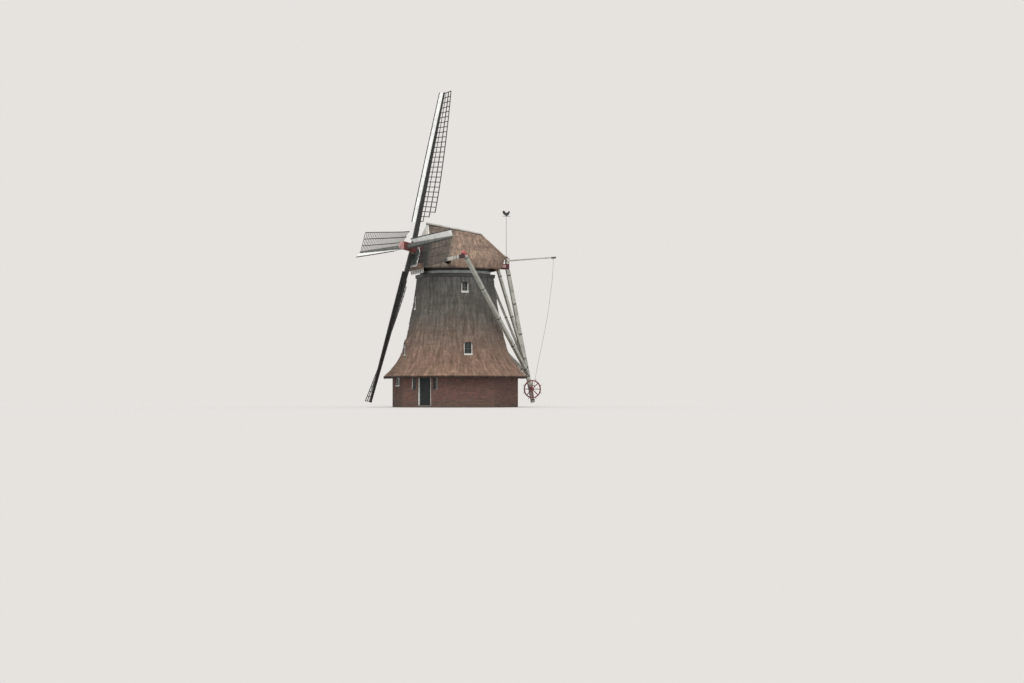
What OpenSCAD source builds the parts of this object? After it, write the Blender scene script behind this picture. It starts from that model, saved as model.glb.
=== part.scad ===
// Thatched octagonal smock mill on a low brick base, with common sails and a tail for turning the cap.
// The windshaft points to -Y and the tail to +Y. The origin is on the tower's axis, at the foot of its walls.

/* [Brick base] */
// Distance from the tower's axis to the outer face of the brick walls
base_inradius = 4330; // [4150:10:4500]
// Thickness of the brick walls
brick_wall = 450; // [350:10:550]
// Height of the brick walls
base_height = 2400; // [2380:10:2550]
// Thickness of the ground floor
ground_slab = 150; // [100:10:200]
// Turn of the tower under the cap, seen from above
tower_turn = -4; // [-10:1:10]

/* [Door] */
// Width of the hole in the wall
door_hole_w = 1100; // [900:10:1300]
// Height of the brickwork over the door
lintel_h = 150; // [130:10:250]
// Width of a door post
door_post = 80; // [60:5:100]
// Depth of the door frame
door_frame_d = 140; // [120:5:180]
// Distance from the wall's outer face to the door frame
door_inset = 60; // [20:5:100]
// Thickness of the door
door_thick = 50; // [40:1:60]
// Gap round the door
door_gap = 6; // [5:1:10]

/* [Thatched body] */
// Height of the top of the thatched body
body_top = 9560; // [9400:10:9700]
// Distance from the axis to the thatch at the top
top_inradius = 2720; // [2650:10:2800]
// How much further out the straight part of the thatch is at the eave
batter = 1250; // [1150:10:1350]
// How far the flared skirt reaches beyond the straight part
flare = 1050; // [900:10:1150]
// Height of the upper edge of the eave
eave_top = 2290; // [2250:10:2350]
// Thickness of the thatch at the eave
eave_lip = 150; // [100:10:200]
// Thickness of the thatch and its boards
thatch_thick = 300; // [250:10:340]

/* [Floors] */
// Height of the top of the first floor
first_floor_z = 2950; // [2800:10:3100]
// Height of the top of the second floor
second_floor_z = 7050; // [6950:10:7100]
// Thickness of the floors
floor_thick = 120; // [80:10:160]
// How deep a floor sits in the wall
floor_bearing = 100; // [60:10:140]

/* [Windows] */
// Width of the lower windows
low_window_w = 640; // [560:10:760]
// Height of the lower windows
low_window_h = 950; // [850:10:1050]
// Height of the lower windows' middle
low_window_z = 4260; // [4100:10:4400]
// Width of the upper windows
top_window_w = 520; // [460:10:600]
// Height of the upper windows
top_window_h = 800; // [700:10:860]
// Height of the upper windows' middle
top_window_z = 8740; // [8600:10:8800]
// Height of the upper windows at the front and rear
tall_window_h = 1100; // [950:10:1150]
// Height of those windows' middle
tall_window_z = 7720; // [7700:10:7850]
// Width of the windows beside the door
side_window_w = 340; // [300:10:420]
// Height of the windows beside the door
side_window_h = 850; // [700:10:900]
// Distance from the door's middle to the middle of the windows beside it
side_window_y = 900; // [840:10:960]
// Width of the windows in the brick walls
base_window_w = 1200; // [900:10:1400]
// Height of the windows in the brick walls
base_window_h = 600; // [500:10:680]
// Height of the brickwork over those windows
base_window_head = 240; // [150:10:300]
// Width of a window frame's members
window_bar = 60; // [50:5:80]
// Depth of a window frame
window_depth = 100; // [80:5:120]
// Thickness of the glass
glass_thick = 10; // [6:1:20]
// Width of the thatch brow round a lower window
brow = 170; // [120:10:220]
// Reach of the thatch brow beyond the window
brow_reach = 60; // [30:10:90]

/* [Curb] */
// Height of the wooden plate on the body
top_plate_h = 220; // [190:5:250]
// Outer radius of the curb
curb_r = 2600; // [2530:10:2680]
// Width of the curb and of the cap's ring
curb_w = 300; // [250:10:350]
// Height of the curb
curb_h = 370; // [330:10:410]
// Height of the moulding round the curb
curb_band_h = 150; // [100:10:180]
// Height of the cap's ring
cap_ring_h = 150; // [120:10:180]
// Gap between the curb and the cap's ring
curb_gap = 1; // [0.5:0.5:3]

/* [Cap] */
// Height of the front end of the ridge
ridge_front_z = 13550; // [13400:10:13700]
// Distance from the axis to the front end of the ridge
ridge_front_y = 2100; // [2000:10:2200]
// Height of the rear end of the ridge
ridge_rear_z = 12880; // [12730:10:13030]
// Distance from the axis to the rear end of the ridge
ridge_rear_y = 2080; // [1930:10:2230]
// Height of the top of the stern
stern_z = 11300; // [11200:10:11400]
// Distance from the axis to the stern
stern_y = 3950; // [3900:10:4000]
// Rise of the eave at the stern
stern_rise = 550; // [470:10:590]
// How far the cap's sides reach beyond the curb
cap_over = 420; // [370:10:570]
// How much narrower each side of the cap is at the front
front_narrow = 750; // [650:10:850]
// Thickness of the cap's thatch
cap_thatch_t = 300; // [250:10:330]
// Width of the white ridge board
ridge_board_w = 260; // [200:10:320]
// Width of the barge boards
barge_w = 400; // [340:10:450]

/* [Cap frame] */
// Distance from the middle to each long beam under the cap
sheer_x = 1150; // [1000:10:1160]
// Width of a long beam
sheer_w = 240; // [200:10:260]
// Height of a long beam
sheer_h = 300; // [250:10:340]
// Half the length of the front beam
front_beam_half = 1550; // [1450:10:1650]
// Thickness of the front beam
front_beam_t = 400; // [340:10:420]
// Length of the fingers of the comb board
comb_finger = 330; // [250:10:340]

/* [Tail] */
// Half the length of the long spruit
long_spruit_half = 6200; // [5900:10:6300]
// Distance of the long spruit in front of the axis
long_spruit_y = 1450; // [1400:10:1550]
// Height of the long spruit's middle
long_spruit_z = 10750; // [10740:10:10850]
// Thickness of the long spruit
long_spruit_t = 240; // [200:10:260]
// Half the length of the short spruit
short_spruit_half = 1400; // [1300:10:1500]
// Distance of the short spruit behind the cap's ring
spruit_gap = 60; // [50:10:190]
// Thickness of the short spruit and the tail's head beam
short_spruit_t = 220; // [200:10:240]
// Width of the tail pole
tail_w = 230; // [200:10:260]
// Distance from the axis to the top of the tail pole
tail_top_y = 4140; // [4100:10:4160]
// Distance from the axis to the foot of the tail pole
tail_foot_y = 6170; // [6100:10:6250]
// Height of the foot of the tail pole
tail_foot_z = 350; // [300:10:500]
// Height where the braces meet the tail pole
brace_foot_z = 2520; // [2450:10:2700]
// Thickness of the long braces
long_brace_t = 240; // [200:5:250]
// Thickness of the short braces
short_brace_t = 190; // [150:10:210]
// Radius of the winch wheel
wheel_r = 680; // [600:10:720]
// Height of the winch wheel's axle
wheel_z = 1350; // [1300:10:1400]

/* [Brake lever, mast and vane] */
// Length of the brake lever, from its pin
lever_len = 3690; // [3450:10:3850]
// Slope of the brake lever at rest
lever_slope = 5.3; // [3:0.1:8]
// Height of the brake lever at its pin
lever_h = 130; // [110:5:160]
// Thickness of the brake lever
lever_t = 90; // [70:5:110]
// Radius of the lever's pin
lever_pin_r = 30; // [20:1:40]
// Height of the mast on the tail's head
mast_h = 2990; // [2800:10:3200]
// Radius of the mast
mast_r = 38; // [30:1:50]
// Length of the vane
vane_len = 640; // [500:10:800]

/* [Windshaft and stocks] */
// Height of the middle of the sails
hub_z = 11770; // [11760:5:11800]
// Distance of the middle of the sails in front of the axis
hub_y = 3470; // [3450:10:3520]
// Slope of the windshaft
shaft_tilt = 13.3; // [13:0.1:13.6]
// Turn of the sails at rest
sail_turn = 1.5; // [-45:0.5:45]
// Radius of the windshaft
shaft_r = 270; // [240:5:280]
// Length of a sail, from the middle to the tip
sail_r = 11800; // [11600:10:11820]
// Forward bend of the stocks
stock_bend = 2; // [1.8:0.1:2.4]
// Width of a stock in the middle
stock_w = 260; // [240:5:300]
// Width of a stock at the tip
stock_tip_w = 110; // [90:5:140]
// Depth of a stock in the middle
stock_d = 350; // [330:5:370]
// Depth of a stock at the tip
stock_tip_d = 110; // [90:5:140]
// Distance between the two stocks along the windshaft
stock_gap = 400; // [390:5:410]
// Width of the iron head
poll_w = 560; // [520:10:580]
// Reach of the iron head beyond the front stock
poll_front = 620; // [500:10:650]

/* [Sails] */
// Width of the lattice, from the stock's middle
lattice_w = 1650; // [1550:10:1700]
// Number of cross bars in a lattice
bar_count = 27; // [20:1:30]
// Distance from the middle to the innermost cross bar
bar_start = 1990; // [1960:10:2160]
// Distance from the tip to the outermost cross bar
bar_end = 60; // [40:10:120]
// Width of the lattice bars
bar_w = 55; // [40:1:70]
// Thickness of the lattice bars
bar_t = 32; // [24:1:40]
// Weather angle of the lattice at its inner end
weather = 25; // [20:1:26]
// Width of the leading boards
board_w = 480; // [400:10:520]
// Thickness of the leading boards
board_t = 30; // [20:1:40]
// Forward slope of the leading boards at the tip
board_slope = 29; // [20:1:35]
// Forward slope of the leading boards at their inner end
board_root_slope = 56; // [45:1:60]
// Distance from the middle to the inner end of the leading boards
board_start = 1900; // [1800:10:2300]

/* [Hidden] */

$fn = 48;
half_face = tan(22.5);
far = 9000;
// Gap between pieces that stand against each other
seam = 0.05;

// The eight faces are numbered from +X, turning from +X to +Y. The door is on face 7.
door_face = 7;
main_faces = [0, 2, 4, 6];

brick_in = base_inradius - brick_wall;
eave_drop = body_top - eave_top;
batter_curve = 1.2;
flare_curve = 7;

door_top = base_height - lintel_h;
door_hole_h = door_top - ground_slab;
door_frame_out = base_inradius - door_inset;
door_frame_in = door_frame_out - door_frame_d;
door_clear_half = door_hole_w / 2 - door_post;
leaf_step = 5;
leaf_in = door_frame_in + leaf_step;
leaf_out = leaf_in + door_thick;
leaf_half = door_clear_half - door_gap;
leaf_low = ground_slab + 10;
leaf_high = door_top - door_post - door_gap;
hinge_pin_r = 12;
hinge_wall = 8;
hinge_r = hinge_pin_r + hinge_wall;
hinge_x = door_frame_in - hinge_r;
hinge_y = door_clear_half + 4;
hinge_h = 120;
hinge_foot = 30;
hinge_reach = 40;
hinge_inset = 250;
strap_len = 620;
pin_fit = 0.05;
hinge_levels = [leaf_low + hinge_inset, leaf_high - hinge_inset];
base_window_z = base_height - base_window_head - base_window_h / 2;
side_window_z = base_height - base_window_head - side_window_h / 2;
side_bar = 45;

plate_top = body_top + top_plate_h;
ring_reach = 20;
cap_ring_r = curb_r + ring_reach;
cap_half_w = curb_r + cap_over;
stern_half_w = 500;
stern_run = 900;
stern_slant = 0.8;
plan_curve = 2.2;
curb_top = plate_top + curb_h;
cap_floor = curb_top + curb_gap;
cap_z = cap_floor + cap_ring_h;

hub = [0, -hub_y, hub_z];
gable_y = (hub_y - ridge_front_y) * cos(shaft_tilt) - (ridge_front_z - hub_z) * sin(shaft_tilt);
gable_t = 60;
barge_t = 70;

short_spruit_y = cap_ring_r + spruit_gap + short_spruit_t / 2;
head_post_y = stern_y + 30;
head_post_d = 260;
head_post_h = 870;
head_board_d = 120;
head_board_h = 960;
head_top = cap_z + head_board_h;
head_beam_h = 250;
head_block_w = 460;
head_block_d = 480;
head_block_lift = 60;
head_block_gap = 5;
head_block_low = cap_z + head_block_lift;
head_block_top = cap_floor + stern_rise - head_block_gap;
lever_pin_h = 640;
lever_pin = [0, head_post_y + head_post_d / 2, cap_z + lever_pin_h];
lever_gap = 8;
lever_x = short_spruit_t / 2 + lever_gap;
mast_y = head_post_y + head_board_d / 2;
tail_d = tail_w + 40;
tail_dir = [0, tail_foot_y - tail_top_y, tail_foot_z - cap_z];
wheel_y = tail_foot_y - (wheel_z - tail_foot_z) * tail_dir[1] / -tail_dir[2];
brace_foot_y = tail_foot_y - (brace_foot_z - tail_foot_z) * tail_dir[1] / -tail_dir[2];
wheel_x = 360;
axle_r = 45;
brace_seat = 30;
brace_overrun = 350;
brace_spread = 100;
end_run = 200;
long_end_run = 500;

// The rope hangs from the end of the brake lever and is made fast to a cleat on the tail pole.
rope_d = 26;
rope_sides = 8;
rope_steps = 7;
cleat_z = 1650;
cleat_y = 6260;
cleat_w = 120;
cleat_h = 80;
cleat_len = 370;
cleat_end = 40;
rope_route = [
    [165, 7750, 11188], [165, 7740, 10850], [160, 7700, 10000], [140, 7570, 8800], [115, 7380, 7350],
    [90, 7140, 6000], [60, 6870, 4700], [30, 6590, 3400], [10, 6370, 2300], [0, 6280, 1850], [0, 6260, 1650]
];

// Outer and inner distance of the thatch from the axis at height z
function fall(z) = (body_top - z) / eave_drop;
function thatch_in(z) = top_inradius - thatch_thick + batter * pow(max(0, fall(z)), batter_curve);
function thatch_out(z) = thatch_in(z) + thatch_thick + flare * pow(max(0, fall(z)), flare_curve);

// Turns a face of the tower to its place, with the face's outward side along +X
module on_face(k) rotate([0, 0, tower_turn + 45 * k]) children();

// One eighth of an octagonal wall, between two distances from the axis
module wall_block(inner, outer, low, high)
    translate([0, 0, low]) linear_extrude(high - low)
        polygon([
            [inner, seam - inner * half_face], [outer, seam - outer * half_face],
            [outer, outer * half_face - seam], [inner, inner * half_face - seam]
        ]);

module octagon_prism(inradius, low, high)
    rotate([0, 0, tower_turn]) translate([0, 0, low]) linear_extrude(high - low)
        polygon([for (k = [0:7]) inradius / cos(22.5) * [cos(22.5 + 45 * k), sin(22.5 + 45 * k)]]);

// A bar of rectangular section between two points
module beam(from, to, width, depth) {
    d = to - from;
    translate(from) rotate([0, acos(d[2] / norm(d)), atan2(d[1], d[0])])
        translate([-depth / 2, -width / 2, 0]) cube([depth, width, norm(d)]);
}

// Brick base
module ground_floor() color("Sienna") {
    octagon_prism(brick_in - seam, 0, ground_slab);
    on_face(door_face) translate([brick_in - 1, seam - door_hole_w / 2, 0])
        cube([brick_wall + 1, door_hole_w - 2 * seam, ground_slab]);
}

module base_window_hole()
    translate([brick_in - 50, -base_window_w / 2, base_window_z - base_window_h / 2])
        cube([brick_wall + 100, base_window_w, base_window_h]);

module base_walls_main() color("Sienna")
    for (k = main_faces) on_face(k) difference() {
        wall_block(brick_in, base_inradius, 0, base_height);
        if (is_end(k)) base_window_hole();
    }

module base_walls_corner() color("Sienna")
    for (k = [1, 3, 5]) on_face(k) wall_block(brick_in, base_inradius, 0, base_height);

module door_piers() color("Sienna") on_face(door_face) for (side = [-1, 1]) difference() {
    linear_extrude(base_height)
        polygon([
            [brick_in, side * door_hole_w / 2], [base_inradius, side * door_hole_w / 2],
            [base_inradius, side * (base_inradius * half_face - seam)],
            [brick_in, side * (brick_in * half_face - seam)]
        ]);
    translate([0, side * side_window_y - side_window_w / 2, side_window_z - side_window_h / 2])
        cube([far, side_window_w, side_window_h]);
}

module door_lintel() color("Sienna")
    on_face(door_face) translate([brick_in, -door_hole_w / 2, door_top])
        cube([brick_wall, door_hole_w, base_height - door_top]);

// Door
module door_frame() color("White")
    on_face(door_face) {
        difference() {
            translate([door_frame_in, -door_hole_w / 2, ground_slab])
                cube([door_frame_d, door_hole_w, door_hole_h]);
            translate([door_frame_in - 1, -door_clear_half, ground_slab - 1])
                cube([door_frame_d + 2, 2 * door_clear_half, door_hole_h - door_post + 1]);
        }
        for (z = hinge_levels) {
            translate([hinge_x, hinge_y, z - hinge_h / 2]) cylinder(r = hinge_pin_r, h = hinge_h);
            translate([hinge_x, hinge_y, z - hinge_h / 2 - hinge_foot]) cylinder(r = hinge_r, h = hinge_foot);
            translate([hinge_x, hinge_y, z - hinge_h / 2 - hinge_foot])
                cube([door_frame_in - hinge_x, hinge_r, hinge_foot]);
        }
    }

module door_leaf() color("DarkSlateGray")
    on_face(door_face) translate([leaf_in, -leaf_half, leaf_low])
        cube([leaf_out - leaf_in, 2 * leaf_half, leaf_high - leaf_low]);

strap_low = 10;
strap_h = 80;
knuckle_h = strap_h + 2 * strap_low;
module door_hinges() color("DimGray")
    on_face(door_face) for (z = hinge_levels) translate([0, 0, z - hinge_h / 2 + 2]) difference() {
        union() {
            translate([leaf_in - hinge_wall, hinge_y - strap_len, strap_low])
                cube([hinge_wall, strap_len - hinge_reach + hinge_wall, strap_h]);
            translate([hinge_x - hinge_r, hinge_y - hinge_reach, strap_low])
                cube([leaf_in - hinge_x + hinge_r, hinge_pin_r, strap_h]);
            translate([hinge_x - hinge_r, hinge_y - hinge_reach, strap_low])
                cube([2 * hinge_pin_r, hinge_reach, strap_h]);
            translate([hinge_x, hinge_y, 0]) cylinder(r = hinge_r, h = knuckle_h);
        }
        translate([hinge_x, hinge_y, -1]) cylinder(r = hinge_pin_r + pin_fit, h = hinge_h);
    }

// Thatched body
thatch_steps = 12;
eave_slant = 40;
thatch_levels = [for (i = [0:thatch_steps]) body_top - eave_drop * (1 - pow(1 - i / thatch_steps, 1.6))];
inner_levels = [for (i = [0:5]) base_height + (body_top - base_height) * i / 5];
thatch_profile = concat(
    [for (z = thatch_levels) [thatch_out(z), z]],
    [[thatch_out(eave_top) - eave_slant, eave_top - eave_lip], [base_inradius, base_height]],
    [for (z = inner_levels) [thatch_in(z), z]]
);

// A window stands upright, with its outer face flush with the thatch in its lower half
function window_out(z, h) = thatch_out(z - h / 4);
// The high windows sit lower at the front and rear than at the sides
function is_end(k) = k == 2 || k == 6;
function high_h(k) = is_end(k) ? tall_window_h : top_window_h;
function high_z(k) = is_end(k) ? tall_window_z : top_window_z;

module window_hole(w, h, z) translate([0, -w / 2, z - h / 2]) cube([far, w, h]);

// The arch of thatch that covers the sides and head of a window
brow_root = 100;
module window_brow(w, h, z, edge)
    translate([thatch_in(z) + brow_root, 0, 0]) rotate([90, 0, 90])
        linear_extrude(window_out(z, h) + brow_reach - thatch_in(z) - brow_root)
            translate([0, z - h / 2]) {
                translate([-w / 2 - edge, 0]) square([w + 2 * edge, h - w / 2 + edge]);
                translate([0, h - w / 2 + edge]) circle(r = w / 2 + edge);
            }

module thatch_side(k) color("Tan") difference() {
    windowed = k % 2 == 0;
    on_face(k) difference() {
        union() {
            intersection() {
                rotate([90, 0, 0]) linear_extrude(far, center = true) polygon(thatch_profile);
                wall_block(brow_root, far, 0, body_top);
            }
            if (windowed) {
                window_brow(low_window_w, low_window_h, low_window_z, brow);
                window_brow(top_window_w, high_h(k), high_z(k), brow / 2);
            }
        }
        if (windowed) {
            window_hole(low_window_w, low_window_h, low_window_z);
            window_hole(top_window_w, high_h(k), high_z(k));
        }
    }
    for (z = [first_floor_z, second_floor_z])
        octagon_prism(thatch_in(z) + floor_bearing, z - floor_thick, z);
}

module thatch_right() thatch_side(0);
module thatch_right_rear() thatch_side(1);
module thatch_rear() thatch_side(2);
module thatch_left_rear() thatch_side(3);
module thatch_left() thatch_side(4);
module thatch_left_front() thatch_side(5);
module thatch_front() thatch_side(6);
module thatch_right_front() thatch_side(7);

module tower_floor(z) color("BurlyWood") octagon_prism(thatch_in(z) + floor_bearing - seam, z - floor_thick + seam, z - seam);
module first_floor() tower_floor(first_floor_z);
module second_floor() tower_floor(second_floor_z);

// Windows, placed by their outer face, middle height and size
module each_window() {
    for (k = main_faces) on_face(k) {
        window_at(window_out(low_window_z, low_window_h), 0, low_window_z, low_window_w, low_window_h) children();
        window_at(window_out(high_z(k), high_h(k)), 0, high_z(k), top_window_w, high_h(k)) children();
        if (is_end(k)) window_at(wall_window_x, 0, base_window_z, base_window_w, base_window_h) children();
    }
    on_face(door_face) for (side = [-1, 1])
        window_at(wall_window_x, side * side_window_y, side_window_z, side_window_w, side_window_h, side_bar) children();
}

module window_at(x, y, z, w, h, bar = window_bar) {
    $w = w;
    $h = h;
    $bar = bar;
    translate([x, y, z]) children();
}

sill_reach = 60;
wall_window_x = base_inradius - 30;

module window_frames() color("White") each_window() {
    difference() {
        translate([-window_depth, -$w / 2, -$h / 2]) cube([window_depth, $w, $h]);
        translate([-window_depth - 1, -$w / 2 + $bar, -$h / 2 + $bar])
            cube([window_depth + 2, $w - 2 * $bar, $h - 2 * $bar]);
    }
    translate([0, -$w / 2, -$h / 2]) cube([sill_reach, $w, $bar]);
}

module window_glass() color("SlateGray") each_window()
    translate([-window_depth / 2, -$w / 2 + $bar, -$h / 2 + $bar])
        cube([glass_thick, $w - 2 * $bar, $h - 2 * $bar]);

// Curb
plate_step = 140;
module top_plate() color("DimGray") difference() {
    octagon_prism(curb_r + plate_step, body_top + seam, plate_top);
    translate([0, 0, body_top - 1]) cylinder(r = curb_r - curb_w, h = top_plate_h + 2, $fn = 96);
}

module ring(outer, width, low, height) difference() {
    translate([0, 0, low]) cylinder(r = outer, h = height, $fn = 96);
    translate([0, 0, low - 1]) cylinder(r = outer - width, h = height + 2, $fn = 96);
}

curb_band_low = 150;
curb_band_proud = 25;
module curb() color("Silver") {
    ring(curb_r, curb_w, plate_top, curb_h);
    ring(curb_r + curb_band_proud, curb_w, plate_top + curb_band_low, curb_band_h);
}
module cap_ring() color("DimGray") ring(cap_ring_r, curb_w + ring_reach, cap_floor, cap_ring_h);

// Cap: sections stand side by side along the ridge, and each one is a pointed arch
ridge_steps = 6;
stern_steps = 8;
arch_steps = 8;
arch_curve = 1.5;
hull_y = concat(
    [for (i = [0:ridge_steps - 1]) -ridge_front_y + (ridge_front_y + ridge_rear_y) * i / ridge_steps],
    [for (i = [0:stern_steps]) ridge_rear_y + (stern_y - ridge_rear_y) * (1 - pow(1 - i / stern_steps, 1.7))]
);
arch_a = [for (i = [0:arch_steps]) sin(90 * i / arch_steps)];
arch_side = concat([for (a = arch_a) [1, a]], [for (i = [arch_steps - 1:-1:0]) [-1, arch_a[i]]]);

function ridge_height(y) = y < ridge_rear_y
    ? ridge_front_z + (ridge_rear_z - ridge_front_z) * (y + ridge_front_y) / (ridge_rear_y + ridge_front_y)
    : ridge_rear_z + (stern_z - ridge_rear_z) * (y - ridge_rear_y) / (stern_y - ridge_rear_y);
function cap_width(y) = y < 0
    ? cap_half_w - front_narrow * pow(y / ridge_front_y, 2)
    : stern_half_w + (cap_half_w - stern_half_w) * sqrt(max(0, 1 - pow(y / stern_y, plan_curve)));
function eave_height(y) = cap_floor + stern_rise * pow(max(0, (y - stern_y + stern_run) / stern_run), 1.5);
function lean(y) = max(0, -y / ridge_front_y) * tan(shaft_tilt);
// The stern leans back: the lower a point of its sections is, the nearer it is to the axis
function undercut(y) = stern_slant * pow(max(0, (y - ridge_rear_y) / (stern_y - ridge_rear_y)), 3);

// One section, pulled in by inset; the front end may be carried forward
function cap_section(y, inset, ahead) = let (
    top = ridge_height(y) - 1.2 * inset,
    low = eave_height(y)
) [for (p = arch_side) let (z = low + (top - low) * p[1]) [
    p[0] * (cap_width(y) - inset) * (1 - pow(p[1], arch_curve)),
    y - lean(y) * (ridge_front_z - z) - undercut(y) * (ridge_height(y) - z) - (y == hull_y[0] ? ahead : 0),
    z
]];
function cap_points(inset, ahead, behind) = [
    for (i = [0:len(hull_y) - 1]) let (y = hull_y[i])
        for (p = cap_section(y, inset, ahead)) p - [0, y > stern_y - 1 ? behind : 0, 0]
];
function strip(n, i) = [for (j = [0:n - 2]) [
    i * n + j, i * n + j + 1, (i + 1) * n + j + 1, (i + 1) * n + j
]];
function flipped(faces) = [for (f = faces) [for (i = [len(f) - 1:-1:0]) f[i]]];
function halved(faces) = [for (f = faces) for (i = [1:len(f) - 2]) [f[0], f[i], f[i + 1]]];

arch_n = len(arch_side);
hull_n = len(hull_y);
hull_faces = [for (i = [0:hull_n - 2]) each strip(arch_n, i)];

// The whole form under the thatch's outer face, closed all round
module cap_solid(inset, ahead = 0) {
    floor_faces = [for (i = [0:hull_n - 2])
        [i * arch_n, (i + 1) * arch_n, (i + 1) * arch_n + arch_n - 1, i * arch_n + arch_n - 1]];
    front = [for (j = [0:arch_n - 1]) j];
    back = [for (j = [arch_n - 1:-1:0]) (hull_n - 1) * arch_n + j];
    polyhedron(cap_points(inset, ahead, inset), halved(flipped(concat(hull_faces, floor_faces, [front, back]))));
}

// The thatch itself: an outer and an inner surface, joined along the eave and the front edge
module cap_shell() {
    n = hull_n * arch_n;
    last = (hull_n - 1) * arch_n;
    rims = concat(
        [for (i = [0:hull_n - 2]) [i * arch_n, (i + 1) * arch_n, n + (i + 1) * arch_n, n + i * arch_n]],
        [for (i = [0:hull_n - 2]) let (a = i * arch_n + arch_n - 1) [a + arch_n, a, n + a, n + a + arch_n]],
        [for (j = [0:arch_n - 2]) [j + 1, j, n + j, n + j + 1]],
        [[last, last + arch_n - 1, n + last + arch_n - 1, n + last]]
    );
    stern = [for (j = [0:arch_n - 1]) last + j];
    inner = [for (f = hull_faces) [for (i = [2, 1, 0, 3]) n + f[i]]];
    polyhedron(
        concat(cap_points(0, 0, 0), cap_points(cap_thatch_t, 0, cap_thatch_t)),
        halved(flipped(concat(
            hull_faces, inner, rims, [flipped([stern])[0], [for (j = stern) n + j]]
        )))
    );
}

module spruit_box(grow = 0)
    translate([-long_spruit_half, -long_spruit_y - long_spruit_t / 2 - grow, long_spruit_z - long_spruit_t / 2 - grow])
        cube([2 * long_spruit_half, long_spruit_t + 2 * grow, long_spruit_t + 2 * grow]);

// The long spruit leaves the thatch over a rounded hollow
hollow_r = 240;
hollow_drop = 90;
module cap_thatch() color("Tan") difference() {
    cap_shell();
    spruit_box();
    intersection() {
        translate([-far / 2, -long_spruit_y, long_spruit_z - hollow_drop]) rotate([0, 90, 0])
            cylinder(r = hollow_r, h = far);
        translate([-far / 2, -far / 2, long_spruit_z - 2 * hollow_r - hollow_drop])
            cube([far, far, 2 * hollow_r + hollow_drop]);
    }
}

// Frame of the windshaft: its own axis runs along Y, with the sails in the plane y = 0
module on_shaft() translate(hub) rotate([-shaft_tilt, 0, 0]) children();
module gable_slab(front, back) on_shaft() translate([-far / 2, front, -far / 2]) cube([far, back - front, far]);

front_beam_y = -hub_y + 190;
front_beam_z = cap_z - 170;
sheer_front = front_beam_y + front_beam_t;
stern_room = 950;
sheer_rear = stern_y - stern_room;
module sheer_boxes()
    for (side = [-1, 1]) translate([side * sheer_x - sheer_w / 2, sheer_front, cap_z])
        cube([sheer_w, sheer_rear - sheer_front, sheer_h]);

module sheers() color("SaddleBrown") sheer_boxes();

gable_gap = 40;
front_run = 400;
barge_proud = 60;
module front_gable() color("DarkOliveGreen") difference() {
    intersection() {
        cap_solid(cap_thatch_t + 1);
        gable_slab(gable_y, gable_y + gable_t);
        translate([-far / 2, -far / 2, cap_z]) cube(far);
    }
    on_shaft() rotate([-90, 0, 0]) cylinder(r = shaft_r + gable_gap, h = far, $fn = 64);
    sheer_boxes();
}

module barge_boards() color("White") difference() {
    intersection() {
        cap_solid(-barge_proud, front_run);
        gable_slab(gable_y - barge_t, gable_y - seam);
    }
    cap_solid(barge_w, 2 * front_run);
}

ridge_reach = 120;
ridge_board_h = 160;
ridge_proud = 60;
cap_trim_gap = 0.5;
module ridge_board() color("White") difference() {
    rotate([90, 0, 90]) linear_extrude(ridge_board_w, center = true)
        polygon([for (p = [
            [-ridge_front_y - ridge_reach, ridge_front_z], [ridge_rear_y, ridge_rear_z],
            [ridge_rear_y, ridge_rear_z + ridge_board_h],
            [-ridge_front_y - ridge_reach, ridge_front_z + ridge_board_h]
        ]) p + [0, ridge_proud - ridge_board_h]]);
    cap_solid(-cap_trim_gap);
    barge_boards();
}

// Front of the cap
module front_beam() color("SaddleBrown")
    translate([-front_beam_half, front_beam_y, front_beam_z])
        cube([2 * front_beam_half, front_beam_t, front_beam_t]);

comb_t = 40;
comb_pitch = 160;
comb_board_h = 90;
finger_w = 80;
comb_inset = 350;
comb_y = front_beam_y + comb_inset;
module comb_board() color("White") {
    fingers = floor(2 * front_beam_half / comb_pitch);
    translate([0, comb_y, front_beam_z]) rotate([90, 0, 0]) linear_extrude(comb_t) {
        translate([-front_beam_half, -comb_board_h]) square([2 * front_beam_half, comb_board_h]);
        for (i = [0:fingers - 1])
            translate([2 * front_beam_half * ((i + 0.5) / fingers - 0.5) - finger_w / 2, -comb_finger])
                square([finger_w, comb_finger - comb_board_h / 2]);
    }
}

// The windshaft lies in a block on a beam, which two posts carry on the long beams
bearing_h = 120;
bearing_w = 2 * shaft_r + 120;
bearing_fit = 0.3;
weather_beam_t = 340;
beam_end_room = 800;
weather_beam_half = cap_half_w - front_narrow - beam_end_room;
weather_beam_y = gable_y + gable_t + 10;
beam_base = -shaft_r - bearing_h - weather_beam_t;
function on_shaft_y(y, z) = -hub_y + y * cos(shaft_tilt) + z * sin(shaft_tilt);
function on_shaft_z(y, z) = hub_z - y * sin(shaft_tilt) + z * cos(shaft_tilt);
beam_post_d = 240;
beam_post_y = on_shaft_y(weather_beam_y + weather_beam_t / 2, beam_base) - beam_post_d / 2;
beam_post_top = on_shaft_z(weather_beam_y, beam_base) + 60;
module weather_beam() color("SaddleBrown") difference() {
    union() {
        on_shaft() translate([-weather_beam_half, weather_beam_y, beam_base])
            cube([2 * weather_beam_half, weather_beam_t, weather_beam_t]);
        on_shaft() translate([-bearing_w / 2, weather_beam_y, -shaft_r - bearing_h])
            cube([bearing_w, weather_beam_t, shaft_r + bearing_h]);
        for (side = [-1, 1]) translate([side * sheer_x - sheer_w / 2, beam_post_y, cap_z + sheer_h])
            cube([sheer_w, beam_post_d, beam_post_top - cap_z - sheer_h]);
    }
    on_shaft() rotate([-90, 0, 0]) cylinder(r = shaft_r + bearing_fit, h = far, $fn = 64);
}

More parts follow.
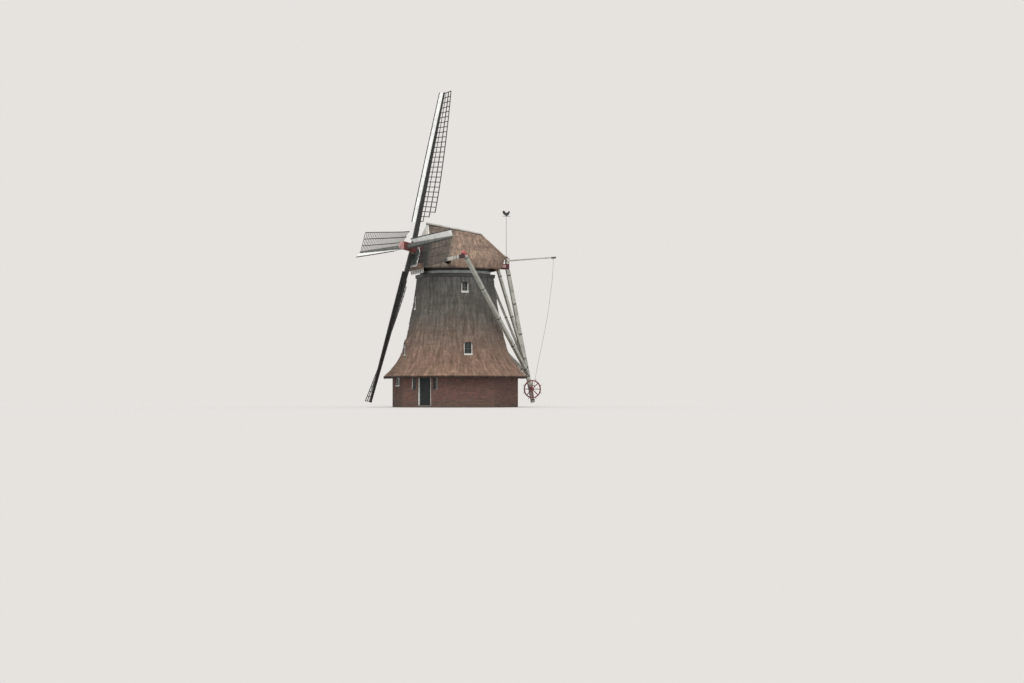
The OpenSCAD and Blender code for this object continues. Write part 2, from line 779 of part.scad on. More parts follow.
// The beard is a shaped board that hangs under the windshaft, against the front beam
beard_room = 30;
beard_y = (stock_gap + stock_d) / 2 + beard_room;
beard_t = 70;
beard_r = 1425;
beard_half = 1250;
beard_gap = 60;
shoulder_r = 300;
module beard() color("DarkGreen") difference() {
    on_shaft() translate([0, beard_y + beard_t, 0]) rotate([90, 0, 0]) linear_extrude(beard_t) difference() {
        translate([-beard_half, -beard_r]) square([2 * beard_half, beard_r + beard_gap]);
        circle(r = poll_w / sqrt(2) + beard_gap);
        for (side = [-1, 1]) translate([side * beard_half, beard_gap]) circle(r = shoulder_r);
    }
    front_beam();
}

// Tail
module long_spruit() color("Gainsboro") spruit_box();

module short_spruit() color("SaddleBrown")
    translate([-short_spruit_half, short_spruit_y - short_spruit_t / 2, cap_z - short_spruit_t])
        cube([2 * short_spruit_half, short_spruit_t, short_spruit_t]);

module tail_head() color("Firebrick") {
    translate([-short_spruit_t / 2, curb_r - curb_w, cap_z])
        cube([short_spruit_t, head_post_y + head_post_d - curb_r + curb_w, head_beam_h]);
    translate([-head_block_w / 2, head_post_y - head_block_d, head_block_low])
        cube([head_block_w, head_block_d, head_block_top - head_block_low]);
    translate([-short_spruit_t / 2, head_post_y, cap_z]) cube([short_spruit_t, head_board_d, head_board_h]);
    translate([-short_spruit_t / 2, head_post_y, cap_z]) cube([short_spruit_t, head_post_d, head_post_h]);
    translate([0, lever_pin[1], lever_pin[2]]) rotate([0, 90, 0])
        cylinder(r = lever_pin_r, h = lever_x + lever_t + lever_gap);
    translate([lever_x + lever_t + lever_gap, lever_pin[1], lever_pin[2]]) rotate([0, 90, 0])
        cylinder(r = 1.5 * lever_pin_r, h = lever_pin_r / 2);
}

module tail_pole() color("DarkSeaGreen") {
    intersection() {
        beam([0, tail_top_y, cap_z] - tail_dir / 10, [0, tail_foot_y, tail_foot_z], tail_w, tail_d);
        translate([-tail_w, 0, 0]) cube([2 * tail_w, far, cap_z]);
    }
    translate([-cleat_w / 2, cleat_y + cleat_end - cleat_len, cleat_z - cleat_h]) cube([cleat_w, cleat_len, cleat_h]);
}

// The braces are seated in the spruits and in the tail pole
module long_braces() color("DarkSeaGreen") difference() {
    for (side = [-1, 1]) beam(
        [side * (long_spruit_half - long_end_run), long_spruit_t / 2 + brace_seat - long_spruit_y, long_spruit_z + brace_overrun],
        [side * brace_spread, brace_foot_y, brace_foot_z], long_brace_t, long_brace_t
    );
    spruit_box();
    beam([0, tail_top_y, cap_z], [0, tail_foot_y, tail_foot_z], tail_w, tail_d);
}

short_brace_up = 600;
short_brace_y = brace_foot_y + short_brace_up * tail_dir[1] / tail_dir[2];
module short_braces() color("DarkSeaGreen") difference() {
    for (side = [-1, 1]) beam(
        [
            side * (short_spruit_half - end_run), short_spruit_y + short_spruit_t / 2 + brace_seat,
            cap_z - short_spruit_t / 2
        ],
        [side * brace_spread / 2, short_brace_y, brace_foot_z + short_brace_up], short_brace_t, short_brace_t
    );
    short_spruit();
    beam([0, tail_top_y, cap_z], [0, tail_foot_y, tail_foot_z], tail_w, tail_d);
}

wheel_rim = 80;
wheel_t = 70;
hub_r = 110;
spoke_w = 60;
spoke_count = 8;
axle_end = 60;
module winch_wheel() color("Firebrick") {
    difference() {
        translate([-wheel_x - axle_end, wheel_y, wheel_z]) rotate([0, 90, 0])
            cylinder(r = axle_r, h = 2 * (wheel_x + axle_end));
        tail_pole();
    }
    translate([wheel_x, wheel_y, wheel_z]) rotate([0, 90, 0]) {
        difference() {
            cylinder(r = wheel_r, h = wheel_t);
            translate([0, 0, -1]) cylinder(r = wheel_r - wheel_rim, h = wheel_t + 2);
        }
        cylinder(r = hub_r, h = wheel_t);
        for (i = [0:spoke_count - 1]) rotate([0, 0, 360 / spoke_count * i])
            translate([hub_r - 30, -spoke_w / 2, 10]) cube([wheel_r - wheel_rim / 2 - hub_r + 30, spoke_w, wheel_t - 20]);
    }
}

// Brake lever, with its own axis along +Y from the pin, and a plate that weighs on its end
plate_len = 330;
plate_side = 15;
module on_lever() translate([0, lever_pin[1], lever_pin[2]]) rotate([lever_slope, 0, 0]) children();
module brake_lever() color("DarkSeaGreen") on_lever() difference() {
    union() {
        rotate([90, 0, 90]) translate([0, 0, lever_x]) linear_extrude(lever_t)
            polygon([
                [-3 * lever_pin_r, -lever_h / 2], [lever_len, -lever_h / 3],
                [lever_len, lever_h / 3], [-3 * lever_pin_r, lever_h / 2]
            ]);
        translate([lever_x - plate_side, lever_len - plate_len / 2, -lever_h / 3 - 40])
            cube([lever_t + 2 * plate_side, plate_len, 2 * lever_h / 3 + 50]);
    }
    rotate([0, 90, 0]) cylinder(r = lever_pin_r + pin_fit, h = far);
}

// The rope: rings round points on a smooth curve through the route
function catmull(a, b, c, d, t) = 0.5 * (
    2 * b + (c - a) * t + (2 * a - 5 * b + 4 * c - d) * t * t + (3 * b - a - 3 * c + d) * t * t * t
);
route_n = len(rope_route);
rope_line = concat(
    [for (i = [0:route_n - 2]) for (s = [0:rope_steps - 1]) catmull(
        rope_route[max(0, i - 1)], rope_route[i], rope_route[i + 1], rope_route[min(route_n - 1, i + 2)],
        s / rope_steps
    )],
    [rope_route[route_n - 1]]
);
module brake_rope() color("BurlyWood") {
    n = len(rope_line);
    rings = [for (i = [0:n - 1]) let (
        t = i == 0 || i == n - 1 ? [0, 0, -1] : rope_line[i + 1] - rope_line[i - 1],
        u = cross(t, [1, 0, 0]) / norm(cross(t, [1, 0, 0])),
        v = cross(t, u) / norm(cross(t, u))
    ) for (j = [0:rope_sides - 1])
        rope_line[i] + rope_d / 2 * (u * cos(360 * j / rope_sides) + v * sin(360 * j / rope_sides))];
    sides = [for (i = [0:n - 2]) for (j = [0:rope_sides - 1]) let (
        a = i * rope_sides + j, b = i * rope_sides + (j + 1) % rope_sides
    ) [a, a + rope_sides, b + rope_sides, b]];
    ends = [
        [for (j = [0:rope_sides - 1]) j],
        [for (j = [rope_sides - 1:-1:0]) (n - 1) * rope_sides + j]
    ];
    polyhedron(rings, halved(concat(sides, ends)));
}

spindle_r = 12;
spindle_h = 260;
collar_r = 90;
collar_h = 25;
module mast() color("Silver") translate([0, mast_y, head_top]) {
    cylinder(r = mast_r, h = mast_h);
    cylinder(r = collar_r, h = collar_h);
    cylinder(r = spindle_r, h = mast_h + spindle_h);
}

// The vane is a weathercock of sheet metal on a socket; its outline is given in shares of its length
vane_t = 16;
vane_gap = 20;
socket_wall = 14;
socket_h = spindle_h - 10;
cock = [
    [-0.50, 0.47], [-0.41, 0.52], [-0.42, 0.59], [-0.37, 0.57], [-0.35, 0.63], [-0.31, 0.58], [-0.27, 0.62],
    [-0.24, 0.55], [-0.18, 0.48], [-0.09, 0.43], [0.03, 0.42], [0.12, 0.47], [0.19, 0.57], [0.29, 0.64],
    [0.40, 0.64], [0.48, 0.58], [0.44, 0.54], [0.50, 0.48], [0.45, 0.43], [0.49, 0.36], [0.41, 0.30],
    [0.33, 0.20], [0.21, 0.12], [0.10, 0.07], [0.05, 0], [-0.05, 0], [-0.06, 0.05], [-0.17, 0.07],
    [-0.27, 0.14], [-0.34, 0.25], [-0.37, 0.36], [-0.41, 0.43]
];
module vane() color("DarkSlateGray") translate([0, mast_y, head_top + mast_h + vane_gap]) difference() {
    union() {
        cylinder(r = spindle_r + socket_wall, h = socket_h);
        translate([vane_t / 2, 0, 0]) rotate([90, 0, -90]) linear_extrude(vane_t) {
            translate([-vane_len / 2, socket_wall]) square([vane_len, 2 * socket_wall]);
            translate([0, 2 * socket_wall]) polygon(vane_len * cock);
        }
    }
    translate([0, 0, -1]) cylinder(r = spindle_r + pin_fit, h = socket_h - 8);
}

// Windshaft and stocks
module on_sails() on_shaft() rotate([0, sail_turn, 0]) children();

poll_back = 250;
shaft_run = 900;
module windshaft() color("Firebrick") on_sails()
    translate([0, stock_gap / 2 + poll_back, 0]) rotate([-90, 0, 0])
        cylinder(r = shaft_r, h = gable_y + shaft_run - stock_gap / 2 - poll_back, $fn = 64);

// Half a stock, tapering from the middle to its tip
module stock_half() {
    points = [for (s = [[0, stock_w, stock_d], [sail_r, stock_tip_w, stock_tip_d]])
        for (c = [[-1, -1], [1, -1], [1, 1], [-1, 1]]) [c[0] * s[1] / 2, c[1] * s[2] / 2, s[0]]];
    polyhedron(points, [[0, 1, 2, 3], [7, 6, 5, 4], [0, 4, 5, 1], [1, 5, 6, 2], [2, 6, 7, 3], [3, 7, 4, 0]]);
}

// Blade 0 stands up, 1 points to -X, 2 hangs down and 3 points to +X; the upright stock is the inner one
module on_blade(k) on_sails() translate([0, k % 2 == 0 ? stock_gap / 2 : -stock_gap / 2, 0])
    rotate([0, -90 * k, 0]) rotate([stock_bend, 0, 0]) children();

module stock(k) {
    on_blade(k) stock_half();
    on_blade(k + 2) stock_half();
}
module inner_stock() color("DarkSlateGray") stock(0);
module outer_stock() color("DarkSlateGray") stock(1);

poll_nose = 90;
module poll_end() color("Firebrick") difference() {
    on_sails() {
        translate([-poll_w / 2, poll_nose - stock_gap / 2 - poll_front, -poll_w / 2])
            cube([poll_w, stock_gap + poll_front + poll_back - poll_nose, poll_w]);
        translate([0, poll_nose - stock_gap / 2 - poll_front, 0]) rotate([90, 0, 0])
            cylinder(r = poll_w / 2 - 30, h = poll_nose, $fn = 8);
    }
    stock(0);
    stock(1);
}

// Sails: a lattice is a grid of bars with real gaps, twisted by the weather angle along the stock
lattice_tip = sail_r - bar_end;
bar_pitch = (lattice_tip - bar_w - bar_start) / (bar_count - 1);
lath_count = 3;
lath_pitch = lattice_w / lath_count;
radial = [for (i = [0:bar_count - 1]) each [bar_start + i * bar_pitch, bar_start + i * bar_pitch + bar_w]];
across = concat([0], [for (i = [1:lath_count]) each [i * lath_pitch - bar_w, i * lath_pitch]]);

weather_start = 3000;
function weather_at(r) = weather * (1 - pow(max(0, (r - weather_start) / (sail_r - weather_start)), 1.4));
function stock_half_w(r) = (stock_w + (stock_tip_w - stock_w) * r / sail_r) / 2;
// A bar starts on the stock's own face, so its first points lie in that face
function lattice_point(r, v, side) = let (
    a = weather_at(r),
    root = (stock_half_w(r) + seam + side * bar_t / 2 * sin(a)) / cos(a),
    u = v == 0 ? root : v
) [u * cos(a) - side * bar_t / 2 * sin(a), u * sin(a) + side * bar_t / 2 * cos(a), r];
// A cell is solid on a cross bar or a lath; the three innermost bars step outwards
function reach(i) = min(lath_count, i + 1);
function is_bar(i, j) = i >= 0 && i % 2 == 0 && i < 2 * bar_count - 1 && j >= 0 && j < 2 * reach(i / 2);
function is_lath(i, j) = i > 0 && i % 2 == 1 && i < 2 * bar_count - 1 && j % 2 == 1 && j < 2 * reach((i - 1) / 2);
function is_solid(i, j) = is_bar(i, j) || is_lath(i, j);

module lattice() {
    nr = len(radial);
    nv = len(across);
    points = [for (side = [-1, 1]) for (r = radial) for (v = across) lattice_point(r, v, side)];
    layer = nr * nv;
    cells = [for (i = [0:nr - 2]) for (j = [0:nv - 2]) if (is_solid(i, j)) [i, j, i * nv + j]];
    quads = [for (c = cells) let (
        i = c[0], j = c[1], a = c[2], b = a + 1, d = a + nv, e = d + 1,
        A = a + layer, B = b + layer, D = d + layer, E = e + layer
    ) each concat(
        [[a, b, e, d], [A, D, E, B]],
        is_solid(i - 1, j) ? [] : [[a, A, B, b]],
        is_solid(i + 1, j) ? [] : [[d, e, E, D]],
        is_solid(i, j - 1) ? [] : [[a, d, D, A]],
        is_solid(i, j + 1) ? [] : [[b, B, E, e]]
    )];
    polyhedron(points, halved(flipped(quads)));
}

module lattice_top() color("BurlyWood") on_blade(0) lattice();
module lattice_left() color("BurlyWood") on_blade(1) lattice();
module lattice_bottom() color("BurlyWood") on_blade(2) lattice();
module lattice_right() color("BurlyWood") on_blade(3) lattice();

// A leading board is twisted too, and stands on the stock's leading face; a batten runs along its outer edge
board_steps = 12;
board_batten = 66;
function board_slope_at(r) =
    board_slope + (board_root_slope - board_slope) * (sail_r - r) / (sail_r - board_start);
function board_point(r, a, n) = let (
    slope = board_slope_at(r)
) [-stock_half_w(r) - seam - a * cos(slope) + n * sin(slope), -a * sin(slope) - n * cos(slope), r];
function board_section(r) = let (root = board_t / 2 * tan(board_slope_at(r)), edge = board_w - board_batten) [
    for (p = [
        [root, board_t / 2], [edge, board_t / 2], [edge, board_batten / 2], [board_w, board_batten / 2],
        [board_w, -board_batten / 2], [edge, -board_batten / 2], [edge, -board_t / 2], [-root, -board_t / 2]
    ]) board_point(r, p[0], p[1])
];
module leading_board() {
    n = 8;
    points = [
        for (i = [0:board_steps]) each board_section(board_start + (sail_r - board_start) * i / board_steps)
    ];
    sides = [for (i = [0:board_steps - 1]) for (j = [0:n - 1]) let (
        a = i * n + j, b = i * n + (j + 1) % n
    ) [a, b, b + n, a + n]];
    ends = [[for (j = [n - 1:-1:0]) j], [for (j = [0:n - 1]) board_steps * n + j]];
    polyhedron(points, concat(halved(sides), ends));
}
module leading_boards() color("Gainsboro") for (k = [0:3]) on_blade(k) leading_board();

ground_floor();
base_walls_main();
base_walls_corner();
door_piers();
door_lintel();
door_frame();
door_leaf();
door_hinges();
thatch_right();
thatch_right_rear();
thatch_rear();
thatch_left_rear();
thatch_left();
thatch_left_front();
thatch_front();
thatch_right_front();
first_floor();
second_floor();
window_frames();
window_glass();
top_plate();
curb();
cap_ring();
cap_thatch();
ridge_board();
front_gable();
barge_boards();
sheers();
front_beam();
comb_board();
weather_beam();
beard();
long_spruit();
short_spruit();
tail_head();
tail_pole();
long_braces();
short_braces();
winch_wheel();
brake_lever();
brake_rope();
mast();
vane();
windshaft();
poll_end();
outer_stock();
inner_stock();
lattice_top();
lattice_left();
lattice_bottom();
lattice_right();
leading_boards();
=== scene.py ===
import math
import random
from itertools import product

import bmesh
import bpy
import numpy as np
from mathutils import Matrix, Vector


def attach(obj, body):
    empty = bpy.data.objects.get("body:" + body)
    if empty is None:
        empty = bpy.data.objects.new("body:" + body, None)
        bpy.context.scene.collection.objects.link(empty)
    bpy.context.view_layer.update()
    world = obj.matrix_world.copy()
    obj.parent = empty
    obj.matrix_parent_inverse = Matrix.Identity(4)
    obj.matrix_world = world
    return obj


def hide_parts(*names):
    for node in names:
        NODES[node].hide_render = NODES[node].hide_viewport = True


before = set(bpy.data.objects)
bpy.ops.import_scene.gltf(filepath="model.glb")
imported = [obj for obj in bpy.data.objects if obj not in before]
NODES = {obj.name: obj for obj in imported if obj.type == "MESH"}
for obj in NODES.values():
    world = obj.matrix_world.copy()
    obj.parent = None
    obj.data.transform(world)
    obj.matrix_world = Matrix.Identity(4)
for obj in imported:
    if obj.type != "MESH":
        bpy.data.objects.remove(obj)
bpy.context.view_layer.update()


# ---------------------------------------------------------------- camera
def camera():
    azimuth, yaw, pitch = (math.radians(d) for d in (71.6, 1.69, 1.63))
    distance, height, lens = 143.0, 0.8, 67.85
    ahead = Vector((-math.sin(azimuth), math.cos(azimuth), 0))
    right = Vector((math.cos(azimuth), math.sin(azimuth), 0))
    look = (ahead * math.cos(yaw) + right * math.sin(yaw)) * math.cos(pitch) + Vector((0, 0, math.sin(pitch)))
    cam = bpy.data.objects.new("camera", bpy.data.cameras.new("camera"))
    cam.location = (distance * math.sin(azimuth), -distance * math.cos(azimuth), height)
    cam.rotation_euler = look.to_track_quat("-Z", "Y").to_euler()
    cam.data.sensor_width = 36
    cam.data.lens = lens
    cam.data.clip_end = 600
    bpy.context.collection.objects.link(cam)
    bpy.context.scene.camera = cam


camera()
bpy.context.scene.view_settings.view_transform = "Standard"


# ---------------------------------------------------------------- materials
RIDGE_SLOPE = 0.155814   # how far the ridge board falls in each metre towards the stern


def lin(*rgb):
    """A colour as seen on screen, 0 to 255, made linear."""
    return tuple(((c / 255 + 0.055) / 1.055) ** 2.4 if c > 10 else c / 255 / 12.92 for c in rgb) + (1.0,)


def color(c):
    """For a socket: (r, g, b) as seen on screen; a link or (r, g, b, a) stays as it is."""
    return lin(*c) if isinstance(c, tuple) and len(c) == 3 else c


def node(tree, kind, inputs=None, **settings):
    """A shader node: settings are its properties, inputs the values or links of its sockets."""
    n = tree.nodes.new("ShaderNode" + kind)
    for key, value in settings.items():
        setattr(n, key, value)
    for key, value in (inputs or {}).items():
        if isinstance(value, bpy.types.NodeSocket):
            tree.links.new(value, n.inputs[key])
        else:
            n.inputs[key].default_value = value
    return n


class Tree:
    """A material's nodes, made one after another."""

    def __init__(self, name, rough):
        self.mat = bpy.data.materials.new(name)
        self.mat.use_nodes = True
        self.nt = self.mat.node_tree
        self.nt.nodes.clear()
        self.bsdf = node(self.nt, "BsdfPrincipled", {"Roughness": rough})
        node(self.nt, "OutputMaterial", {"Surface": self.bsdf.outputs[0]})
        self.obj = self.add("TexCoord", "Object")
        self.x, self.y, self.z = node(self.nt, "SeparateXYZ", {0: self.obj}).outputs

    def add(self, kind, out=0, inputs=None, **settings):
        return node(self.nt, kind, inputs, **settings).outputs[out]

    def vec(self, scale, at=None):
        return self.add("Mapping", 0, {"Vector": at or self.obj, "Scale": scale})

    def noise(self, scale, at=None, detail=4, rough=0.6, warp=0.0):
        return self.add("TexNoise", 0, {"Vector": at or self.obj, "Scale": scale, "Detail": detail,
                                        "Roughness": rough, "Distortion": warp})

    def shade(self):
        """The random value that each straw or brick carries."""
        return self.add("Attribute", "Fac", attribute_name="shade")

    def math(self, op, a, b=0.0):
        return self.add("Math", 0, {0: a, 1: b}, operation=op)

    def times(self, a, b):
        return self.math("MULTIPLY", a, b)

    def less(self, a, b):
        return self.math("SUBTRACT", a, b)

    def sum(self, *terms):
        """Values added up, each times its weight."""
        parts = [value if weight == 1 else self.times(value, weight) for value, weight in terms]
        total = parts[0]
        for part in parts[1:]:
            total = self.math("ADD", total, part)
        return total

    def ramp(self, fac, *stops):
        n = node(self.nt, "ValToRGB", {0: fac})
        while len(n.color_ramp.elements) < len(stops):
            n.color_ramp.elements.new(0.5)
        for e, (p, c) in zip(n.color_ramp.elements, stops):
            e.position = p
            e.color = color(c)
        return n.outputs[0]

    def band(self, value, lo, hi):
        """0 below lo, 1 above hi."""
        return self.add("MapRange", 0, {"Value": value, "From Min": lo, "From Max": hi}, clamp=True)

    def within(self, value, lo, hi, soft=0.004):
        """1 where lo < value < hi, with edges as sharp as paint has."""
        below = self.less(1.0, self.band(value, hi - soft, hi + soft))
        return self.times(self.band(value, lo - soft, lo + soft), below)

    def mix(self, fac, a, b, how="MIX"):
        return self.add("Mix", 2, {0: fac, 6: color(a), 7: color(b)}, data_type="RGBA", blend_type=how)

    def overlay(self, amount, base, value, *stops):
        """Lightens and darkens a colour; grey 188 leaves it as it is."""
        return self.mix(amount, base, self.ramp(value, *((p, (v, v - 1, v - 3)) for p, v in stops)), "OVERLAY")

    def done(self, base, height, depth, strength, rough=None):
        """The finished material: its colour, and a bump from height."""
        normal = self.add("Bump", 0, {"Strength": strength, "Distance": depth, "Height": height})
        for socket, link in (("Base Color", base), ("Normal", normal), ("Roughness", rough)):
            if link:
                self.nt.links.new(link, self.bsdf.inputs[socket])
        return self.mat


def girth(t):
    """Coordinates on an upright round surface: along its girth in metres at 3.6 m, depth, height."""
    depth = t.math("SQRT", t.sum((t.times(t.x, t.x), 1), (t.times(t.y, t.y), 1)))
    return t.add("CombineXYZ", 0, {0: t.times(t.math("ARCTAN2", t.y, t.x), 3.6), 1: t.times(depth, 0.2), 2: t.z})


def body_reed(t, height):
    """The colour that height has on the tower: brown below, grey above, and dark below the eave's rim, a painted shade
    on the eave's cut ends and under it.
    """
    base = t.ramp(t.band(height, 1.6, 9.8), (0.0, (128, 102, 86)), (0.28, (122, 100, 88)), (0.47, (107, 94, 85)),
                  (0.62, (93, 88, 83)), (0.80, (86, 84, 80)), (1.0, (82, 82, 80)))
    # Painted shade: below 2.25 m the reed is mixed towards a dark brown, on the eave's cut ends and under the eave
    return t.mix(t.times(t.less(1.0, t.band(t.z, 2.25, 2.34)), 0.9), base, (52, 43, 38))


def thatch_body_material(name, cut=False):
    t = Tree(name, 0.95)
    at = girth(t)
    streak = t.noise(1.0, t.vec((5.5, 5.5, 1.0), at), 5, 0.65, 0.5)
    straw = t.noise(1.0, t.vec((60, 60, 3.5), at), 3, 0.7)
    course = t.noise(1.0, t.vec((0.5, 0.5, 5.0), at), 4, 0.6, 0.6)
    patch = t.noise(0.55, t.vec((1, 1, 0.7), at))
    base = body_reed(t, t.sum((t.z, 1), (t.less(patch, 0.5), 3.0), (t.less(streak, 0.5), 2.6)))
    base = t.overlay(0.9, base, streak, (0.3, 126), (0.5, 188), (0.7, 242))
    base = t.overlay(0.5, base, course, (0.3, 158), (0.5, 188), (0.7, 218))
    base = t.overlay(0.6, base, straw, (0.28, 140), (0.5, 188), (0.75, 236))
    moss = t.noise(0.9, t.vec((1, 1, 0.6), at), 5, 0.7)
    base = t.mix(t.times(t.band(moss, 0.6, 0.76), 0.3), base, (90, 92, 76))
    # A cut face is darker: painted shade in the window reveals
    if cut:
        base = t.mix(1.0, base, (150, 142, 134), "MULTIPLY")
    return t.done(base, t.sum((straw, 0.6), (streak, 0.4)), 0.035, 0.9)


def cap_reed(t, mixed):
    """The newer reed's colour on the cap: darker near the eave, and greyer and darker towards its front, which is
    painted shade.
    """
    base = t.ramp(mixed, (0.32, (106, 92, 81)), (0.43, (125, 106, 94)), (0.5, (136, 115, 101)),
                  (0.57, (145, 124, 108)), (0.68, (158, 137, 121)))
    base = t.mix(t.band(t.z, 10.1, 11.3), t.mix(1.0, base, (222, 220, 218), "MULTIPLY"), base)
    # Painted shade: the front of the cap is mixed towards a dark mauve grey
    front = t.band(t.sum((t.y, 1), (t.less(13.3, t.z), 0.45)), -0.42, 0.3)
    return t.mix(t.times(t.less(1.0, front), 0.85), base, (108, 98, 89))


def thatch_cap_material(name, cut=False):
    t = Tree(name, 0.93)
    # Straw lies down the slope of the cap, a little towards the stern
    at = t.add("CombineXYZ", 0, {0: t.less(t.y, t.times(t.z, 0.25)), 1: t.times(t.x, 0.5), 2: t.z})
    streak = t.noise(1.0, t.vec((5.5, 3, 1.4), at), 5, 0.65, 0.8)
    straw = t.noise(1.0, t.vec((55, 20, 5), at), 3, 0.7)
    band = t.noise(1.0, t.vec((0.5, 0.5, 3.2), at), 4, 0.6, 0.8)
    base = cap_reed(t, t.sum((band, 0.5), (t.noise(0.8, at), 0.5)))
    base = t.overlay(0.9, base, streak, (0.3, 124), (0.5, 188), (0.7, 244))
    base = t.overlay(0.6, base, straw, (0.28, 140), (0.5, 188), (0.75, 236))
    # A cut face is darker: painted shade in the hollow under the long spruit
    if cut:
        base = t.mix(1.0, base, (170, 162, 152), "MULTIPLY")
    return t.done(base, t.sum((straw, 0.6), (streak, 0.4)), 0.03, 0.9)


def straw_material(name, on_cap):
    """Single straws: the thatch's colour where they lie, and a shade of their own."""
    t = Tree(name, 0.85)
    patch = t.noise(2.0, None, 3)
    if on_cap:
        base = cap_reed(t, t.math("ADD", t.times(patch, 0.6), 0.2))
    else:
        base = body_reed(t, t.sum((t.z, 1), (t.less(patch, 0.5), 3.0)))
    base = t.overlay(1.0, base, t.shade(), (0.1, 152), (0.45, 184), (0.6, 194), (0.95, 226))
    return t.done(base, t.noise(120), 0.002, 0.4)


def paint(name, main, dirt, rough=0.45, grain=0.6, wear=0.25, zones=None):
    """Oil paint on wood: a little grain, grime in patches, and bare wood where it has worn.
    zones(t, main) gives places another colour, by where they lie on the object."""
    t = Tree(name, rough)
    streaks = t.noise(14, None, 5, 0.65, 0.6)
    patch = t.noise(1.6, None, 5, 0.65)
    spots = t.noise(26, None, 3)
    base = zones(t, main) if zones else main
    soil = tuple(min(255, int(188 * (d / max(1, m)) ** 0.9) + 30) for d, m in zip(dirt, main))
    grime = t.mix(1.0, base, soil, "MULTIPLY")
    base = t.mix(t.times(t.band(patch, 0.42, 0.72), 0.6), base, grime)
    base = t.overlay(grain, base, streaks, (0.3, 168), (0.5, 188), (0.7, 208))
    base = t.mix(t.times(t.band(t.times(spots, patch), 0.33, 0.42), wear), base, (92, 84, 74))
    smooth, dull = rough * 0.8, min(1, rough * 1.35)
    sheen = t.ramp(patch, (0.3, (smooth,) * 3 + (1,)), (0.7, (dull,) * 3 + (1,)))
    return t.done(base, t.sum((streaks, 1), (spots, 0.3)), 0.006, 0.5, sheen)


def inside(pick, lo, hi, other):
    """A zone of another colour where pick(t) lies between lo and hi."""
    return lambda t, main: t.mix(t.within(pick(t), lo, hi), main, other)


def outside(pick, lo, hi, other):
    """A zone of another colour where pick(t) doesn't lie between lo and hi."""
    return lambda t, main: t.mix(t.within(pick(t), lo, hi), other, main)


def side_posts(t, main):
    """The windows beside the door have dark frames, apart from the posts farthest from it."""
    facing, along = math.radians(-49), math.radians(41)
    depth = t.sum((t.x, math.cos(facing)), (t.y, math.sin(facing)))
    u = t.math("ABSOLUTE", t.sum((t.x, math.cos(along)), (t.y, math.sin(along))))
    return t.mix(t.times(t.within(depth, 4.1, 4.6), t.within(u, 0.6, 1.022)), main, (62, 63, 59))


def head_panels(t, main):
    """Pale panels on the red head of the tail."""
    low = t.times(t.within(t.y, 3.57, 3.91), t.within(t.z, 10.43, 10.63))
    high = t.times(t.within(t.y, 4.01, 4.21), t.within(t.z, 10.72, 11.13))
    return t.mix(high, t.mix(low, main, (206, 164, 158)), (214, 206, 198))


def wood(name, dark, light, rough, along):
    """Bare timber; along scales its grain, least on the axis it runs with."""
    t = Tree(name, rough)
    grain = t.noise(1.0, t.vec(along), 6, 0.7, 0.8)
    base = t.ramp(t.sum((grain, 0.6), (t.noise(1.1), 0.4)), (0.32, dark), (0.68, light))
    return t.done(base, grain, 0.006, 0.6)


def iron(name, main, rust=(96, 62, 48), amount=0.35, rough=0.55, metal=0.3):
    t = Tree(name, rough)
    t.bsdf.inputs["Metallic"].default_value = metal
    patch = t.noise(7, None, 6, 0.7)
    fine = t.noise(60)
    base = t.mix(t.times(t.band(patch, 0.5, 0.66), amount), main, rust)
    return t.done(t.overlay(0.35, base, fine, (0.3, 168), (0.7, 208)), fine, 0.003, 0.4)


def red_brick():
    """Each brick has its own shade, with grime in patches and green near the ground."""
    t = Tree("red_brick", 0.9)
    grit = t.noise(90, None, 4, 0.7)
    base = t.ramp(t.shade(), (0.0, (90, 63, 56)), (0.3, (110, 76, 68)), (0.6, (122, 86, 76)), (0.85, (106, 79, 72)),
                  (1.0, (86, 70, 66)))
    base = t.overlay(0.5, base, grit, (0.3, 160), (0.7, 216))
    base = t.mix(t.times(t.band(t.noise(1.3), 0.5, 0.75), 0.4), base, (84, 74, 66))
    base = t.mix(t.times(t.less(1.0, t.band(t.z, 0.1, 0.7)), 0.45), base, (78, 76, 62))
    return t.done(base, grit, 0.004, 0.6)


def gritty(name, rough, grit, patch, share, dark, light, depth):
    """A dull material between two colours, by fine grit and broad patches."""
    t = Tree(name, rough)
    fine = t.noise(*grit)
    base = t.ramp(t.sum((fine, share), (t.noise(*patch), 1 - share)), (0.35, dark), (0.65, light))
    return t.done(base, fine, depth, 0.7)


def glass():
    # The glass's dark colour is painted shade: the dim rooms seen through the panes
    t = Tree("window_glass", 0.08)
    t.bsdf.inputs["Specular IOR Level"].default_value = 0.4
    patch = t.noise(1.7, None, 3, 0.5)
    return t.done(t.ramp(patch, (0.35, (34, 37, 37)), (0.65, (52, 55, 55))), patch, 0.01, 0.15)


